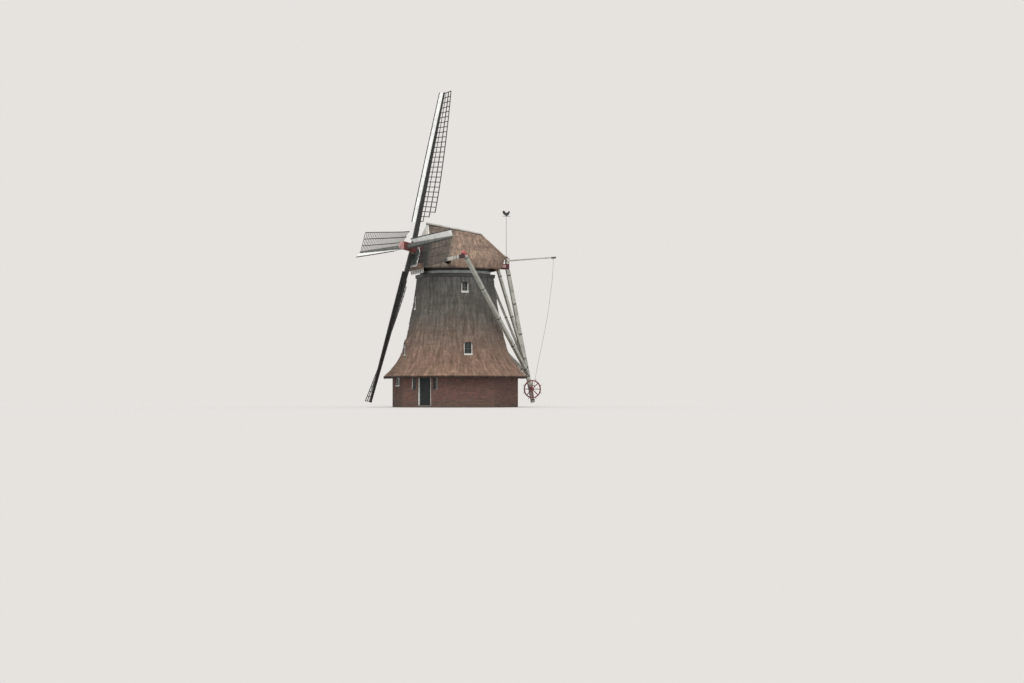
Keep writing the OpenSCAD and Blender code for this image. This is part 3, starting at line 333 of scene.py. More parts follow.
M = {
    "reed_body": thatch_body_material("reed_weathered"),
    "reed_cap": thatch_cap_material("reed_newer"),
    "reed_body_cut_shaded": thatch_body_material("reed_weathered_cut_shaded", True),
    "reed_cap_cut_shaded": thatch_cap_material("reed_newer_cut_shaded", True),
    "straw_body": straw_material("straw_weathered", False),
    "straw_cap": straw_material("straw_newer", True),
    "white": paint("white_paint", (226, 225, 219), (190, 187, 178)),
    "white_frames": paint("window_frame_paint", (226, 225, 219), (190, 187, 178), zones=side_posts),
    # Painted light: the sails' white is brighter than the white paint elsewhere, so that boards facing down look lit
    "white_sail_lit": paint("white_sail_paint", (250, 250, 246), (232, 230, 224), wear=0.1, grain=0.3),
    "white_spruit": paint("white_spruit_paint", (222, 219, 210), (176, 172, 162), wear=0.4,
                          zones=inside(lambda t: t.math("ABSOLUTE", t.x), 5.55, 9, (70, 43, 41))),
    # Painted shade: the ridge board is dark below a line just under the capping
    "ridge": paint("ridge_paint", (212, 204, 197), (172, 166, 158), wear=0.4,
                   zones=outside(lambda t: t.sum((t.z, 1), (t.y, RIDGE_SLOPE)), 13.184, 14, (70, 66, 62))),
    "barge": paint("barge_paint", (232, 228, 222), (190, 186, 178), wear=0.3,
                   zones=outside(lambda t: t.z, 12.25, 15, (58, 62, 58))),
    # The inner stock is coloured far darker than the outer one
    "stock_dark": paint("inner_stock_darker", (42, 44, 43), (34, 34, 34), 0.5),
    "green_grey": paint("stock_paint", (86, 90, 84), (66, 68, 63), 0.5),
    "batten": paint("batten_paint", (50, 51, 48), (40, 40, 38), 0.55),
    "dark_green": paint("dark_green_paint", (58, 66, 61), (46, 50, 48)),
    "door": paint("door_paint", (20, 28, 28), (16, 22, 22), 0.5, wear=0.1),
    "tail": paint("tail_paint", (180, 180, 170), (132, 132, 124), 0.55, wear=0.6),
    "tail_brace": paint("tail_brace_paint", (180, 180, 170), (132, 132, 124), 0.55, wear=0.6,
                        zones=inside(lambda t: t.z, 10.86, 12, (186, 100, 100))),
    "lever": paint("lever_paint", (176, 174, 164), (130, 128, 118), 0.55, wear=0.6,
                   zones=inside(lambda t: t.y, 7.55, 9, (84, 78, 74))),
    # The curb is pale in a band from 9.79 to 9.985 m and dark elsewhere; the dark above the band partly paints the
    # shade under the cap
    "curb_pale": paint("curb_paint", (152, 153, 148), (118, 120, 114), 0.5, wear=0.3,
                       zones=outside(lambda t: t.z, 9.79, 9.985, (60, 59, 55))),
    "curb_dark": paint("curb_dark_paint", (62, 62, 59), (49, 49, 47), 0.55),
    "red": paint("red_paint", (114, 44, 45), (88, 40, 40), 0.5),
    "red_head": paint("red_head_paint", (84, 38, 42), (66, 34, 36), 0.5, zones=head_panels),
    "beam_brown": wood("front_beam_wood", (92, 70, 58), (128, 102, 86), 0.7, (1.4, 16, 16)),
    "timber": wood("inner_timber", (98, 80, 62), (146, 122, 96), 0.8, (16, 1.4, 16)),
    "lattice": wood("lattice_wood", (38, 36, 33), (66, 62, 56), 0.7, (14, 14, 3)),
    "floor_boards": wood("floor_boards", (120, 98, 74), (164, 138, 106), 0.75, (12, 1.0, 12)),
    "iron": iron("forged_iron", (62, 62, 62)),
    "poll": paint("poll_paint", (104, 46, 46), (80, 42, 40), 0.5, 0.4,
                  zones=inside(lambda t: t.y, -9, -4.06, (194, 147, 143))),
    "mast": iron("mast_metal", (200, 201, 199), (168, 162, 154), 0.2, 0.5, 0.1),
    "vane": iron("vane_metal", (64, 66, 66), (70, 60, 52), 0.3, 0.5, 0.4),
    "brick": red_brick(),
    "mortar": gritty("mortar", 0.95, (120, None, 4, 0.7), (2.2,), 0.4, (84, 77, 72), (108, 99, 92), 0.004),
    "bar_grey": paint("glazing_bar_paint", (112, 116, 112), (90, 92, 88), 0.5, wear=0.2),
    # Painted light: the curb boards' pale paint is brighter than the curb's own pale, against the shade of the cap's
    # overhang
    "curb_board": paint("curb_board_paint_lit", (186, 190, 188), (150, 152, 148), 0.5, wear=0.3),
    "wedge": wood("oak_wedges", (104, 84, 62), (146, 122, 92), 0.75, (9, 9, 2)),
    "stone": gritty("step_stone", 0.85, (80, None, 5, 0.7), (3.0,), 0.4, (104, 100, 94), (138, 134, 126), 0.004),
    "glass": glass(),
    "rope": gritty("hemp_rope", 0.9, (160, None, 4, 0.7), (1.5, None, 3, 0.5), 0.5, (122, 112, 98), (168, 158, 142),
                   0.002),
}

THATCH = ["thatch_" + side for side in ("right", "right_rear", "rear", "left_rear", "left", "left_front", "front",
                                        "right_front")]
for material, nodes in {
    "mortar": "ground_floor base_walls_main base_walls_corner door_piers door_lintel", "white": "door_frame comb_board",
    "door": "door_leaf", "iron": "door_hinges", "floor_boards": "first_floor second_floor",
    "white_frames": "window_frames", "glass": "window_glass", "curb_dark": "top_plate cap_ring", "curb_pale": "curb",
    "reed_cap": "cap_thatch", "reed_body": " ".join(THATCH), "ridge": "ridge_board", "dark_green": "front_gable beard",
    "barge": "barge_boards", "timber": "sheers weather_beam short_spruit", "beam_brown": "front_beam",
    "white_spruit": "long_spruit", "red_head": "tail_head", "tail": "tail_pole short_braces",
    "tail_brace": "long_braces", "red": "winch_wheel", "lever": "brake_lever", "rope": "brake_rope", "mast": "mast",
    "vane": "vane", "poll": "windshaft poll_end", "green_grey": "outer_stock", "stock_dark": "inner_stock",
    "lattice": "lattice_top lattice_left lattice_bottom lattice_right", "white_sail_lit": "leading_boards",
}.items():
    for name in nodes.split():
        slots = NODES[name].data.materials
        slots.clear()
        slots.append(M[material])


# ---------------------------------------------------------------- mesh helpers
def mesh_object(name, verts, faces):
    me = bpy.data.meshes.new(name)
    me.from_pydata([tuple(v) for v in verts], [], faces)
    me.update()
    o = bpy.data.objects.new(name, me)
    bpy.context.collection.objects.link(o)
    return o


def piece(name, verts, faces, mats, body, smooth=False, face_mats=None, replaces=()):
    """A visible piece: it rides a body and may stand for CAD nodes."""
    o = mesh_object(name, verts, faces)
    for m in mats:
        o.data.materials.append(M[m])
    if face_mats is not None:
        o.data.polygons.foreach_set("material_index", face_mats)
    if smooth:
        o.data.polygons.foreach_set("use_smooth", [True] * len(o.data.polygons))
    o.data.update()
    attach(o, body)
    if replaces:
        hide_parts(*replaces)
    return o


def add_shade(o, values):
    o.data.attributes.new("shade", "FLOAT", "POINT").data.foreach_set("value", values)


def face_outwards(o):
    bm = bmesh.new()
    bm.from_mesh(o.data)
    bmesh.ops.recalc_face_normals(bm, faces=bm.faces)
    bm.to_mesh(o.data)
    bm.free()


def split_large_faces(o):
    """Makes triangles of the faces with more than four corners."""
    bm = bmesh.new()
    bm.from_mesh(o.data)
    bmesh.ops.triangulate(bm, faces=[f for f in bm.faces if len(f.verts) > 4])
    bm.to_mesh(o.data)
    bm.free()


def unit(v):
    return v / np.linalg.norm(v, axis=-1, keepdims=True)


def ngon(r, n):
    return [(r * math.cos(2 * math.pi * i / n), r * math.sin(2 * math.pi * i / n)) for i in range(n)]


def grid_faces(rows, cols, closed=True, base=0):
    """Quads of a grid of points, row after row; a closed grid joins its last column to its first."""
    i, j = np.meshgrid(np.arange(rows - 1), np.arange(cols if closed else cols - 1), indexing="ij")
    a = i * cols + j
    b = i * cols + (j + 1) % cols
    return (np.stack([a, b, b + cols, a + cols], -1).reshape(-1, 4) + base).tolist()


def smooth_noise(p, scale, seed):
    """Noise from sums of seeded waves, quick on large arrays of points."""
    g = np.random.default_rng(seed)
    out = np.zeros(p.shape[:-1])
    for _ in range(14):
        k = g.normal(size=3)
        k *= g.uniform(0.6, 1.5) / np.linalg.norm(k)
        out += np.sin((p * np.array(scale)) @ k * 2 * math.pi + g.uniform(0, 2 * math.pi))
    return out / 3.7


def cut(o, prisms):
    """Takes prisms away from an object: each is an outline (u, v) about height z, from depth x0 to x1.
    The outline runs counter-clockwise, seen from x1."""
    verts, faces = [], []
    for out, along, z, outline, x0, x1 in prisms:
        base, m = len(verts), len(outline)
        verts += [out * x + along * u + np.array([0, 0, z + v]) for x in (x0, x1) for u, v in outline]
        faces += [tuple(range(base + m - 1, base - 1, -1)), tuple(range(base + m, base + 2 * m))]
        faces += [(base + i, base + (i + 1) % m, base + m + (i + 1) % m, base + m + i) for i in range(m)]
    cutter = mesh_object("cutter", verts, faces)
    mod = o.modifiers.new("cut", "BOOLEAN")
    mod.operation = "DIFFERENCE"
    mod.object = cutter
    mod.solver = "MANIFOLD"
    me = bpy.data.meshes.new_from_object(o.evaluated_get(bpy.context.evaluated_depsgraph_get()))
    o.modifiers.clear()
    spent = [cutter.data]
    bpy.data.objects.remove(cutter)
    # A cut that failed leaves an almost empty mesh, and the object then stays as it was
    if len(me.polygons) > 100:
        spent.append(o.data)
        o.data = me
    for old in spent:
        bpy.data.meshes.remove(old)


def mark_cuts(o, is_cut):
    """Flat faces of cut straw where is_cut(centre, normal) holds; they take the second, darker material, which paints
    shade into the cut.
    """
    for poly in o.data.polygons:
        marked = bool(is_cut(np.array(poly.center), np.array(poly.normal)))
        poly.material_index = int(marked)
        poly.use_smooth = not marked


# ---------------------------------------------------------------- brake rope
ROUTE = [
    (0.165, 7.750, 11.188), (0.165, 7.740, 10.850), (0.160, 7.700, 10.000), (0.140, 7.570, 8.800),
    (0.115, 7.380, 7.350), (0.090, 7.140, 6.000), (0.060, 6.870, 4.700), (0.030, 6.590, 3.400),
    (0.010, 6.370, 2.300), (0.0, 6.280, 1.850), (0.0, 6.260, 1.650),
]


def catmull(points, steps):
    """A smooth curve through the points."""
    p = [np.array(q) for q in points]
    out = []
    for i in range(len(p) - 1):
        a, b, c, d = p[max(0, i - 1)], p[i], p[i + 1], p[min(len(p) - 1, i + 2)]
        for s in range(steps):
            t = s / steps
            out.append(0.5 * (2 * b + (c - a) * t + (2 * a - 5 * b + 4 * c - d) * t * t
                              + (3 * b - a - 3 * c + d) * t ** 3))
    return out + [p[-1]]


def brake_rope():
    """A laid rope: three strands turn about the line."""
    radius, twist, sides = 0.013, 0.02, 10
    line = catmull(ROUTE, 24)
    verts, run = [], 0.0
    for i, p in enumerate(line):
        ahead = unit(line[min(i + 1, len(line) - 1)] - line[max(i - 1, 0)])
        u = unit(np.cross(ahead, (1, 0, 0)))
        v = np.cross(ahead, u)
        if i:
            run += np.linalg.norm(p - line[i - 1])
        for j in range(sides):
            a = 2 * math.pi * j / sides
            r = radius * (0.86 + 0.14 * abs(math.cos(1.5 * (a - run / twist))))
            verts.append(p + r * (u * math.cos(a) + v * math.sin(a)))
    faces = grid_faces(len(line), sides)
    faces += [tuple(range(sides))[::-1], tuple(range((len(line) - 1) * sides, len(line) * sides))]
    o = piece("brake_rope_laid", verts, faces, ["rope"], "cap", True, replaces=["brake_rope"])


brake_rope()


# ---------------------------------------------------------------- thatched body
TURN = math.radians(-4)
BODY_TOP, BODY_HEIGHT = 9.56, 7.27
WINDOWS = []   # face, middle height, width, height, width of the brow round it
for k in (0, 2, 4, 6):
    WINDOWS.append((k, 4.26, 0.64, 0.95, 0.17))
    WINDOWS.append((k, 7.72, 0.52, 1.1, 0.085) if k in (2, 6) else (k, 8.74, 0.52, 0.8, 0.085))


def thatch_in(z):
    return 2.42 + 1.25 * np.maximum(0, (BODY_TOP - z) / BODY_HEIGHT) ** 1.2


def thatch_out(z):
    return thatch_in(z) + 0.3 + 1.05 * np.maximum(0, (BODY_TOP - z) / BODY_HEIGHT) ** 7


def face_frame(k):
    """The directions out of face k and along it."""
    a = TURN + math.radians(45 * k)
    return np.array([math.cos(a), math.sin(a), 0]), np.array([-math.sin(a), math.cos(a), 0])


def octagon(theta, power):
    """An octagon's radius; a lower power rounds its corners."""
    c = np.stack([np.maximum(0.0, np.cos(theta - TURN - math.radians(45 * k))) for k in range(8)])
    return (c ** power).sum(0) ** (-1 / power)


def window_plane(z, h):
    return float(thatch_out(np.array(z - h / 4)))


def swell_brows(skin):
    """The thatch swells out round each window's arched outline."""
    for k, z, w, h, edge in WINDOWS:
        out, along = face_frame(k)
        u, v, depth = skin @ along, skin[..., 2] - z, skin @ out
        plane = window_plane(z, h) + (0.058 if edge > 0.1 else 0.054)
        distance = np.maximum(0, np.hypot(u, np.maximum(0, v - (h / 2 - w / 2))) - w / 2)
        s = distance / (edge * 1.15)
        brow = plane - 0.035 * s ** 2 - 0.9 * np.maximum(0, s - 1) ** 1.5 * edge
        gap = np.where(v < -h / 2, -9, brow) - depth
        soft = 0.05
        push = np.where((depth > 1.5) & (gap > -0.2), soft * np.logaddexp(0, gap / soft), 0)
        push = np.minimum(push, np.maximum(0, plane + 0.01 - depth))
        skin += push[..., None] * out


def window_cuts(arched):
    """Square as far as the frames, arched in front of them."""
    for k, z, w, h, _ in WINDOWS:
        plane = window_plane(z, h)
        if arched:
            rise = 0.17
            outline = [(-w / 2, -h / 2 - 0.02), (w / 2, -h / 2 - 0.02)]
            outline += [(w / 2 * math.cos(a), h / 2 - rise - 0.01 + rise * math.sin(a))
                        for a in (math.pi * i / 12 for i in range(13))]
            yield *face_frame(k), z, outline, plane - 0.002, plane + 0.9
        else:
            outline = [(-w / 2, -h / 2), (w / 2, -h / 2), (w / 2, h / 2), (-w / 2, h / 2)]
            yield *face_frame(k), z, outline, 1.6, plane + 0.004


def in_window(c, n):
    """Whether a face lies on the sides of a window's opening."""
    for k, z, w, h, _ in WINDOWS:
        if abs(c[2] - z) <= h / 2 + 0.03:
            out, along = face_frame(k)
            reveal = abs(n @ out) < 0.6 or c @ out < window_plane(z, h) + 0.006
            if c @ out > 1.5 and abs(c @ along) < w / 2 + 0.012 and reveal:
                return True
    return False


def thatch_body():
    """The reed in one closed skin: down the outside, round the eave's rim, under it and up the inside."""
    cols, rim = 400, 4
    theta = np.linspace(0, 2 * math.pi, cols, endpoint=False)
    z_out = BODY_TOP - BODY_HEIGHT * (1 - (1 - np.linspace(0, 1, 132)) ** 1.35)
    in_z = np.linspace(2.4, BODY_TOP, 24)[1:]
    radius = np.concatenate([thatch_out(z_out), (5.035, 5.03, 5.0, 4.975), np.linspace(4.975, 4.335, 9)[1:],
                             thatch_in(in_z)])
    level = np.concatenate([z_out, (2.262, 2.215, 2.165, 2.142), np.linspace(2.142, 2.4, 9)[1:], in_z])
    rows, n_out = len(radius), len(z_out)
    outside_rows = (np.arange(rows) < n_out + rim)[:, None]
    R = radius[:, None] * np.where(outside_rows, octagon(theta, 40)[None, :], octagon(theta, 200)[None, :])
    Z = np.repeat(level[:, None], cols, 1)
    P = np.stack([R * np.cos(theta), R * np.sin(theta), Z], -1)
    swell_brows(P[:n_out])

    # Uneven reed: swells, courses and streaks, and an eave whose edge wavers
    Q = np.stack(np.broadcast_arrays(np.cos(theta) * 3.2, np.sin(theta) * 3.2, Z), -1)
    swell = smooth_noise(Q, (0.55, 0.55, 0.4), 1) * 0.016
    streak = smooth_noise(Q, (2.6, 2.6, 0.5), 2) * 0.008
    fine = smooth_noise(Q, (5.5, 5.5, 1.6), 3) * 0.006
    course = np.sin(Z * 2 * math.pi / 0.33 + smooth_noise(Q, (0.5, 0.5, 0.2), 5) * 1.5) * 0.003
    amount = np.zeros(rows)
    amount[:n_out + 2] = 1
    amount[:2] = 0.2, 0.6
    move = (swell + streak + fine + course - 0.012) * amount[:, None]
    P += move[..., None] * np.stack([np.cos(theta), np.sin(theta), np.zeros(cols)], -1)[None]
    lift = np.zeros(rows)
    lift[n_out - 3:n_out + rim + 2] = 1
    P[..., 2] += smooth_noise(Q, (1.1, 1.1, 0), 4) * 0.012 * lift[:, None]
    P[..., 2] = np.maximum(P[..., 2], 2.122)

    last = (rows - 1) * cols
    faces = grid_faces(rows, cols) + [(last + j, last + (j + 1) % cols, (j + 1) % cols, j) for j in range(cols)]
    o = piece("thatch_body", P.reshape(-1, 3), faces, ["reed_body", "reed_body_cut_shaded"], "tower", True,
              replaces=THATCH)
    face_outwards(o)
    for arched in (False, True):
        cut(o, window_cuts(arched))
    # The window reveals take the darker cut material, painted shade
    mark_cuts(o, in_window)
    return P[:n_out]


skin = thatch_body()


# ---------------------------------------------------------------- thatched cap
RIDGE_F, RIDGE_R, STERN_Y, STERN_Z = (-2.1, 13.55), (2.08, 12.88), 3.95, 11.30
CAP_LOW, CAP_HALF, STERN_HALF, STERN_RISE, STERN_RUN = 10.151, 3.02, 0.5, 0.55, 0.9
TILT = math.radians(13.3)
SPRUIT_Y = -1.45


def ridge_height(y):
    front = RIDGE_F[1] + (RIDGE_R[1] - RIDGE_F[1]) * (y - RIDGE_F[0]) / (RIDGE_R[0] - RIDGE_F[0])
    rear = RIDGE_R[1] + (STERN_Z - RIDGE_R[1]) * (y - RIDGE_R[0]) / (STERN_Y - RIDGE_R[0])
    return np.where(y < RIDGE_R[0], front, rear)


def cap_width(y):
    front = CAP_HALF - 0.75 * (y / RIDGE_F[0]) ** 2
    rear = STERN_HALF + (CAP_HALF - STERN_HALF) * np.sqrt(np.maximum(0, 1 - np.maximum(0, y / STERN_Y) ** 2.2))
    return np.where(y < 0, front, rear)


def cap_surface(y, a, inset=0.0):
    """A point of the cap's outer or inner surface: y along the ridge, a from 0 at one eave over the ridge to 2."""
    rise = np.sin(np.pi / 2 * np.where(a <= 1, a, 2 - a))
    side = np.where(a <= 1, 1.0, -1.0)
    top = ridge_height(y) - 1.2 * inset
    low = CAP_LOW + STERN_RISE * np.maximum(0, (y - STERN_Y + STERN_RUN) / STERN_RUN) ** 1.5
    z = low + (top - low) * rise
    lean = np.maximum(0, y / RIDGE_F[0]) * math.tan(TILT)
    under = 0.8 * np.maximum(0, (y - RIDGE_R[0]) / (STERN_Y - RIDGE_R[0])) ** 3
    x = side * (cap_width(y) - inset) * (1 - rise ** 1.5)
    yy = y - lean * (RIDGE_F[1] - z) - under * (ridge_height(y) - z)
    yy = np.where(y > STERN_Y - 0.001, yy - inset, yy)
    return np.stack([x, yy, z], -1)


def thatch_cap():
    ys = np.concatenate([np.linspace(RIDGE_F[0], RIDGE_R[0], 66),
                         STERN_Y - (STERN_Y - RIDGE_R[0]) * (np.linspace(1, 0, 46) ** 1.7)[1:]])
    yy, aa = np.meshgrid(ys, np.linspace(0, 2, 97), indexing="ij")
    outer, inner = cap_surface(yy, aa), cap_surface(yy, aa, 0.3)
    rows, cols = outer.shape[:2]
    normal = np.cross(np.gradient(outer, axis=1), np.gradient(outer, axis=0))
    normal /= np.maximum(1e-6, np.linalg.norm(normal, axis=-1, keepdims=True))
    normal[((outer - np.array([0, 0.5, 10.6])) * normal).sum(-1) < 0] *= -1

    # Uneven reed, evener at the eaves and along the ridge
    slope = outer.copy()
    slope[..., 1] -= 0.25 * outer[..., 2]
    swell = smooth_noise(outer, (0.5, 0.5, 0.5), 11) * 0.020
    streak = smooth_noise(slope, (0.9, 2.4, 0.5), 12) * 0.010
    fine = smooth_noise(slope, (2.0, 5.0, 1.2), 13) * 0.007
    edge = 0.35 + 0.65 * np.minimum(1, np.minimum(np.arange(cols), np.arange(cols)[::-1]) / 2.0)
    near_ridge = np.minimum(1, np.abs(aa - 1) / 0.06)
    outer = outer + normal * ((swell + streak + fine - 0.016) * edge[None, :] * near_ridge)[..., None]
    outer[..., 2] += smooth_noise(outer, (1.2, 1.2, 0.0), 14) * 0.010 * (edge[None, :] < 1)
    outer[..., 2] = np.maximum(outer[..., 2], 10.136)

    n, last = rows * cols, (rows - 1) * cols
    faces = grid_faces(rows, cols, False) + [f[::-1] for f in grid_faces(rows, cols, False, n)]
    rims = [(i * cols + j, (i + 1) * cols + j) for i in range(rows - 1) for j in (0, cols - 1)]
    rims += [(j, j + 1) for j in range(cols - 1)] + [(last, last + cols - 1)]
    faces += [(a, b, n + b, n + a) for a, b in rims]
    faces += [tuple(range(last, last + cols)), tuple(range(n + last + cols - 1, n + last - 1, -1))]
    o = piece("thatch_cap", np.concatenate([outer.reshape(-1, 3), inner.reshape(-1, 3)]), faces,
              ["reed_cap", "reed_cap_cut_shaded"], "cap", True, replaces=["cap_thatch"])
    split_large_faces(o)
    face_outwards(o)

    # Room for the long spruit, with a rounded hollow under it
    r, half = 0.24, 0.122
    outline = [(SPRUIT_Y + r, 10.74)]
    outline += [(SPRUIT_Y + r * math.cos(math.pi * i / 16), 10.66 - r * math.sin(math.pi * i / 16)) for i in range(17)]
    outline += [(SPRUIT_Y - r, 10.74)]
    outline += [(SPRUIT_Y + side * half, z) for side, z in ((-1, 10.76), (-1, 10.872), (1, 10.872), (1, 10.76))]
    cut(o, [(np.array([1, 0, 0]), np.array([0, 1, 0]), 0, outline, 4.0, -4.0)])
    # The hollow's faces take the darker cut material, painted shade
    mark_cuts(o, lambda c, n: abs(c[1] - SPRUIT_Y) < 0.25 and 10.4 < c[2] < 10.88 and abs(c[0]) < 3 and abs(n[0]) < 0.5)
    return outer


cap_skin = thatch_cap()


# ---------------------------------------------------------------- straws on the thatch
def straws(name, body, mat, roots, along, out, length, width, seed, spread=0.35, lift=0.12):
    """Tapering straws of two bent faces each, lying down the slope with their ends standing off a little."""
    g = np.random.default_rng(seed)
    n = len(roots)
    d = unit(along + np.cross(along, out) * g.normal(0, spread, n)[:, None])
    side = unit(np.cross(d, out))
    L = (length * g.uniform(0.6, 1.4, n))[:, None]
    W = (width * g.uniform(0.6, 1.4, n))[:, None]
    H = (lift * g.uniform(0.3, 1.6, n))[:, None] * L
    a = roots - out * 0.012
    mid = roots + d * L * 0.55 + out * H * 0.55
    tip = roots + d * L + out * H
    verts = np.stack([a - side * W, a + side * W, mid - side * W * 0.8, mid + side * W * 0.8, mid + out * W, tip], 1)
    straw = [(0, 2, 4), (0, 4, 1), (1, 4, 3), (2, 5, 4), (4, 5, 3), (0, 1, 3), (0, 3, 2), (2, 3, 5)]
    faces = (np.array(straw)[None] + 6 * np.arange(n)[:, None, None]).reshape(-1, 3).tolist()
    o = piece(name, verts.reshape(-1, 3), faces, [mat], body)
    add_shade(o, np.repeat(g.uniform(0, 1, n), 6))


def body_straws():
    g = np.random.default_rng(21)
    n = 15500
    rows, cols = skin.shape[:2]
    i = (rows - 3) * g.uniform(0, 1, n) ** 0.85 + 1
    j = g.uniform(0, cols, n)
    i0, j0 = i.astype(int), j.astype(int) % cols
    here, right = skin[i0, j0], skin[i0, (j0 + 1) % cols]
    p = here + (skin[np.minimum(i0 + 1, rows - 1), j0] - here) * (i - i0)[:, None] + (right - here) * (j % 1)[:, None]
    down = unit(skin[np.minimum(i0 + 2, rows - 1), j0] - skin[np.maximum(i0 - 1, 0), j0])
    out = np.cross(unit(right - skin[i0, (j0 - 1) % cols]), -down)
    out *= np.sign((out[:, :2] * p[:, :2]).sum(1))[:, None]
    keep = p[:, 2] > 2.5
    for k, z, w, h, _ in WINDOWS:
        o, al = face_frame(k)
        keep &= ~((p @ o > 1.5) & (np.abs(p @ al) < w / 2 + 0.05)
                  & (p[:, 2] < z + h / 2 + 0.25) & (p[:, 2] > z - h / 2 - 0.05))
    straws("thatch_straws", "tower", "straw_body", p[keep], down[keep], out[keep], 0.20, 0.0075, 22)


def eave_straws():
    """Straw ends round the eave, standing out of its lip."""
    g = np.random.default_rng(31)
    n = 7000
    theta = g.uniform(0, 2 * math.pi, n)
    v = g.uniform(0, 1, n)
    r = (5.02 - 0.03 * v) * octagon(theta, 40) - 0.03
    p = np.stack([r * np.cos(theta), r * np.sin(theta), 2.285 - 0.135 * v], -1)
    out_flat = np.stack([np.cos(theta), np.sin(theta), np.zeros(n)], -1)
    d = unit(out_flat * 0.62 + np.array([0, 0, -0.78]) * (0.6 + 0.4 * v)[:, None])
    up = np.cross(d, np.stack([-np.sin(theta), np.cos(theta), np.zeros(n)], -1))
    up *= np.sign(up[:, 2] + 1e-9)[:, None]
    straws("eave_straws", "tower", "straw_body", p, d, up, 0.075, 0.0075, 32, 0.25, 0.05)


def cap_straws():
    g = np.random.default_rng(41)
    n = 9000
    rows, cols = cap_skin.shape[:2]
    i = g.uniform(1, rows - 3, n)
    j0 = g.uniform(1, cols - 2, n).astype(int)
    i0 = i.astype(int)
    p = cap_skin[i0, j0] * (1 - (i - i0))[:, None] + cap_skin[i0 + 1, j0] * (i - i0)[:, None]
    down = cap_skin[i0, np.clip(np.where(j0 < cols // 2, j0 - 1, j0 + 1), 0, cols - 1)] - cap_skin[i0, j0]
    down[:, 1] += 0.12 * np.linalg.norm(down, axis=1)
    down = unit(down)
    out = unit(np.cross(down, unit(cap_skin[i0 + 1, j0] - cap_skin[i0 - 1, j0])))
    out *= np.sign(((p - np.array([0, 0.5, 10.8])) * out).sum(1))[:, None]
    by_spruit = (np.abs(p[:, 1] - SPRUIT_Y) < 0.35) & (p[:, 2] < 11.0)
    keep = (np.abs(p[:, 0]) > 0.16) & (p[:, 2] > 10.45) & ~by_spruit
    straws("cap_straws", "cap", "straw_cap", p[keep], down[keep], out[keep], 0.20, 0.0075, 42, 0.35, 0.10)


def cap_eave_straws():
    g = np.random.default_rng(51)
    n = 4200
    rows, cols = cap_skin.shape[:2]
    i = g.integers(1, rows - 8, n)
    side = g.integers(0, 2, n)
    j, jn = np.where(side == 0, 0, cols - 1), np.where(side == 0, 1, cols - 2)
    here, above = cap_skin[i, j], cap_skin[i, jn]
    p = here + (cap_skin[i + 1, j] - here) * g.uniform(0, 1, n)[:, None]
    p = p + (above - here) * g.uniform(0, 0.9, n)[:, None]
    down = unit(here - above)
    flat = np.stack([np.where(side == 0, 1.0, -1.0), np.zeros(n), np.zeros(n)], -1)
    out = unit(flat - down * (flat * down).sum(1)[:, None])
    p = p - flat * 0.01
    p[:, 2] += 0.05
    straws("cap_eave_straws", "cap", "straw_cap", p, down, out, 0.045, 0.007, 52, 0.2, 0.15)


body_straws()
eave_straws()
cap_straws()
cap_eave_straws()


# ---------------------------------------------------------------- joinery helpers
class Kit:
    """Chamfered boxes, plates, bolts and lofts that are made into one piece."""

    def __init__(self):
        self.v, self.f, self.m = [], [], []

    def face(self, base, idx, mat):
        self.f.append(tuple(base + i for i in idx))
        self.m.append(mat)

    def box(self, at, lo, hi, mat=0, chamfer=0.004):
        """Each corner has three points, one on each of its faces; steps are the points from corner to corner."""
        c = min([chamfer] + [0.3 * (b - a) for a, b in zip(lo, hi)])
        base = len(self.v)
        steps = (12, 6, 3)
        for corner in product((0, 1), repeat=3):
            for axis in range(3):
                self.v.append(at @ Vector([(hi[d] if s else lo[d]) + (0 if d == axis else -c if s else c)
                                           for d, s in enumerate(corner)]))
        sides = [(axis, *(d for d in range(3) if d != axis)) for axis in range(3)]
        for axis, d, e in sides:
            for s in (0, 1):
                self.face(base, [s * steps[axis] + a * steps[d] + b * steps[e] + axis
                                 for a, b in ((0, 0), (1, 0), (1, 1), (0, 1))], mat)
        for axis, d, e in sides:
            for a, b in product((0, 1), repeat=2):
                k0 = a * steps[d] + b * steps[e]
                k1 = k0 + steps[axis]
                self.face(base, (k0 + d, k0 + e, k1 + e, k1 + d), mat)
        for k in range(0, 24, 3):
            self.face(base, (k, k + 1, k + 2), mat)

    def prism(self, at, outline, z0, z1, mat=0):
        """A plate: its outline lies in the frame's x and y."""
        base, n = len(self.v), len(outline)
        self.v += [at @ Vector((x, y, z)) for z in (z0, z1) for x, y in outline]
        self.face(base, range(n - 1, -1, -1), mat)
        self.face(base, range(n, 2 * n), mat)
        for i in range(n):
            j = (i + 1) % n
            self.face(base, (i, j, n + j, n + i), mat)

    def bolt(self, at, r, h, mat=0):
        """A nut on a washer, standing along the frame's z."""
        self.prism(at, ngon(1.5 * r, 12), -0.002, 0.2 * h, mat)
        self.prism(at, ngon(r, 6), 0.2 * h, h, mat)

    def strap(self, at, w, d, z, h, t, chamfer):
        """Four plates round a beam, w and d being half their outer width and depth."""
        for lo, hi in (((-w, -d), (w, -d + t)), ((-w, d - t), (w, d)), ((-w, -d), (-w + t, d)), ((w - t, -d), (w, d))):
            self.box(at, (*lo, z), (*hi, z + h), 0, chamfer)

    def loft(self, rings, mat=0, sides=None):
        """sides gives single strips of the loft, counted from the ring's first point, another material."""
        base, n, count = len(self.v), len(rings[0]), len(rings)
        self.v += [Vector(p) for ring in rings for p in ring]
        for i in range(count - 1):
            for j in range(n):
                a, b = i * n + j, i * n + (j + 1) % n
                self.face(base, (a, b, b + n, a + n), (sides or {}).get(j, mat))
        self.face(base, range(n - 1, -1, -1), mat)
        self.face(base, range((count - 1) * n, count * n), mat)

    def make(self, name, mats, body, slot_name, smooth=False, replaces=()):
        face_outwards(piece(name, self.v, self.f, mats, body, smooth, self.m, replaces))


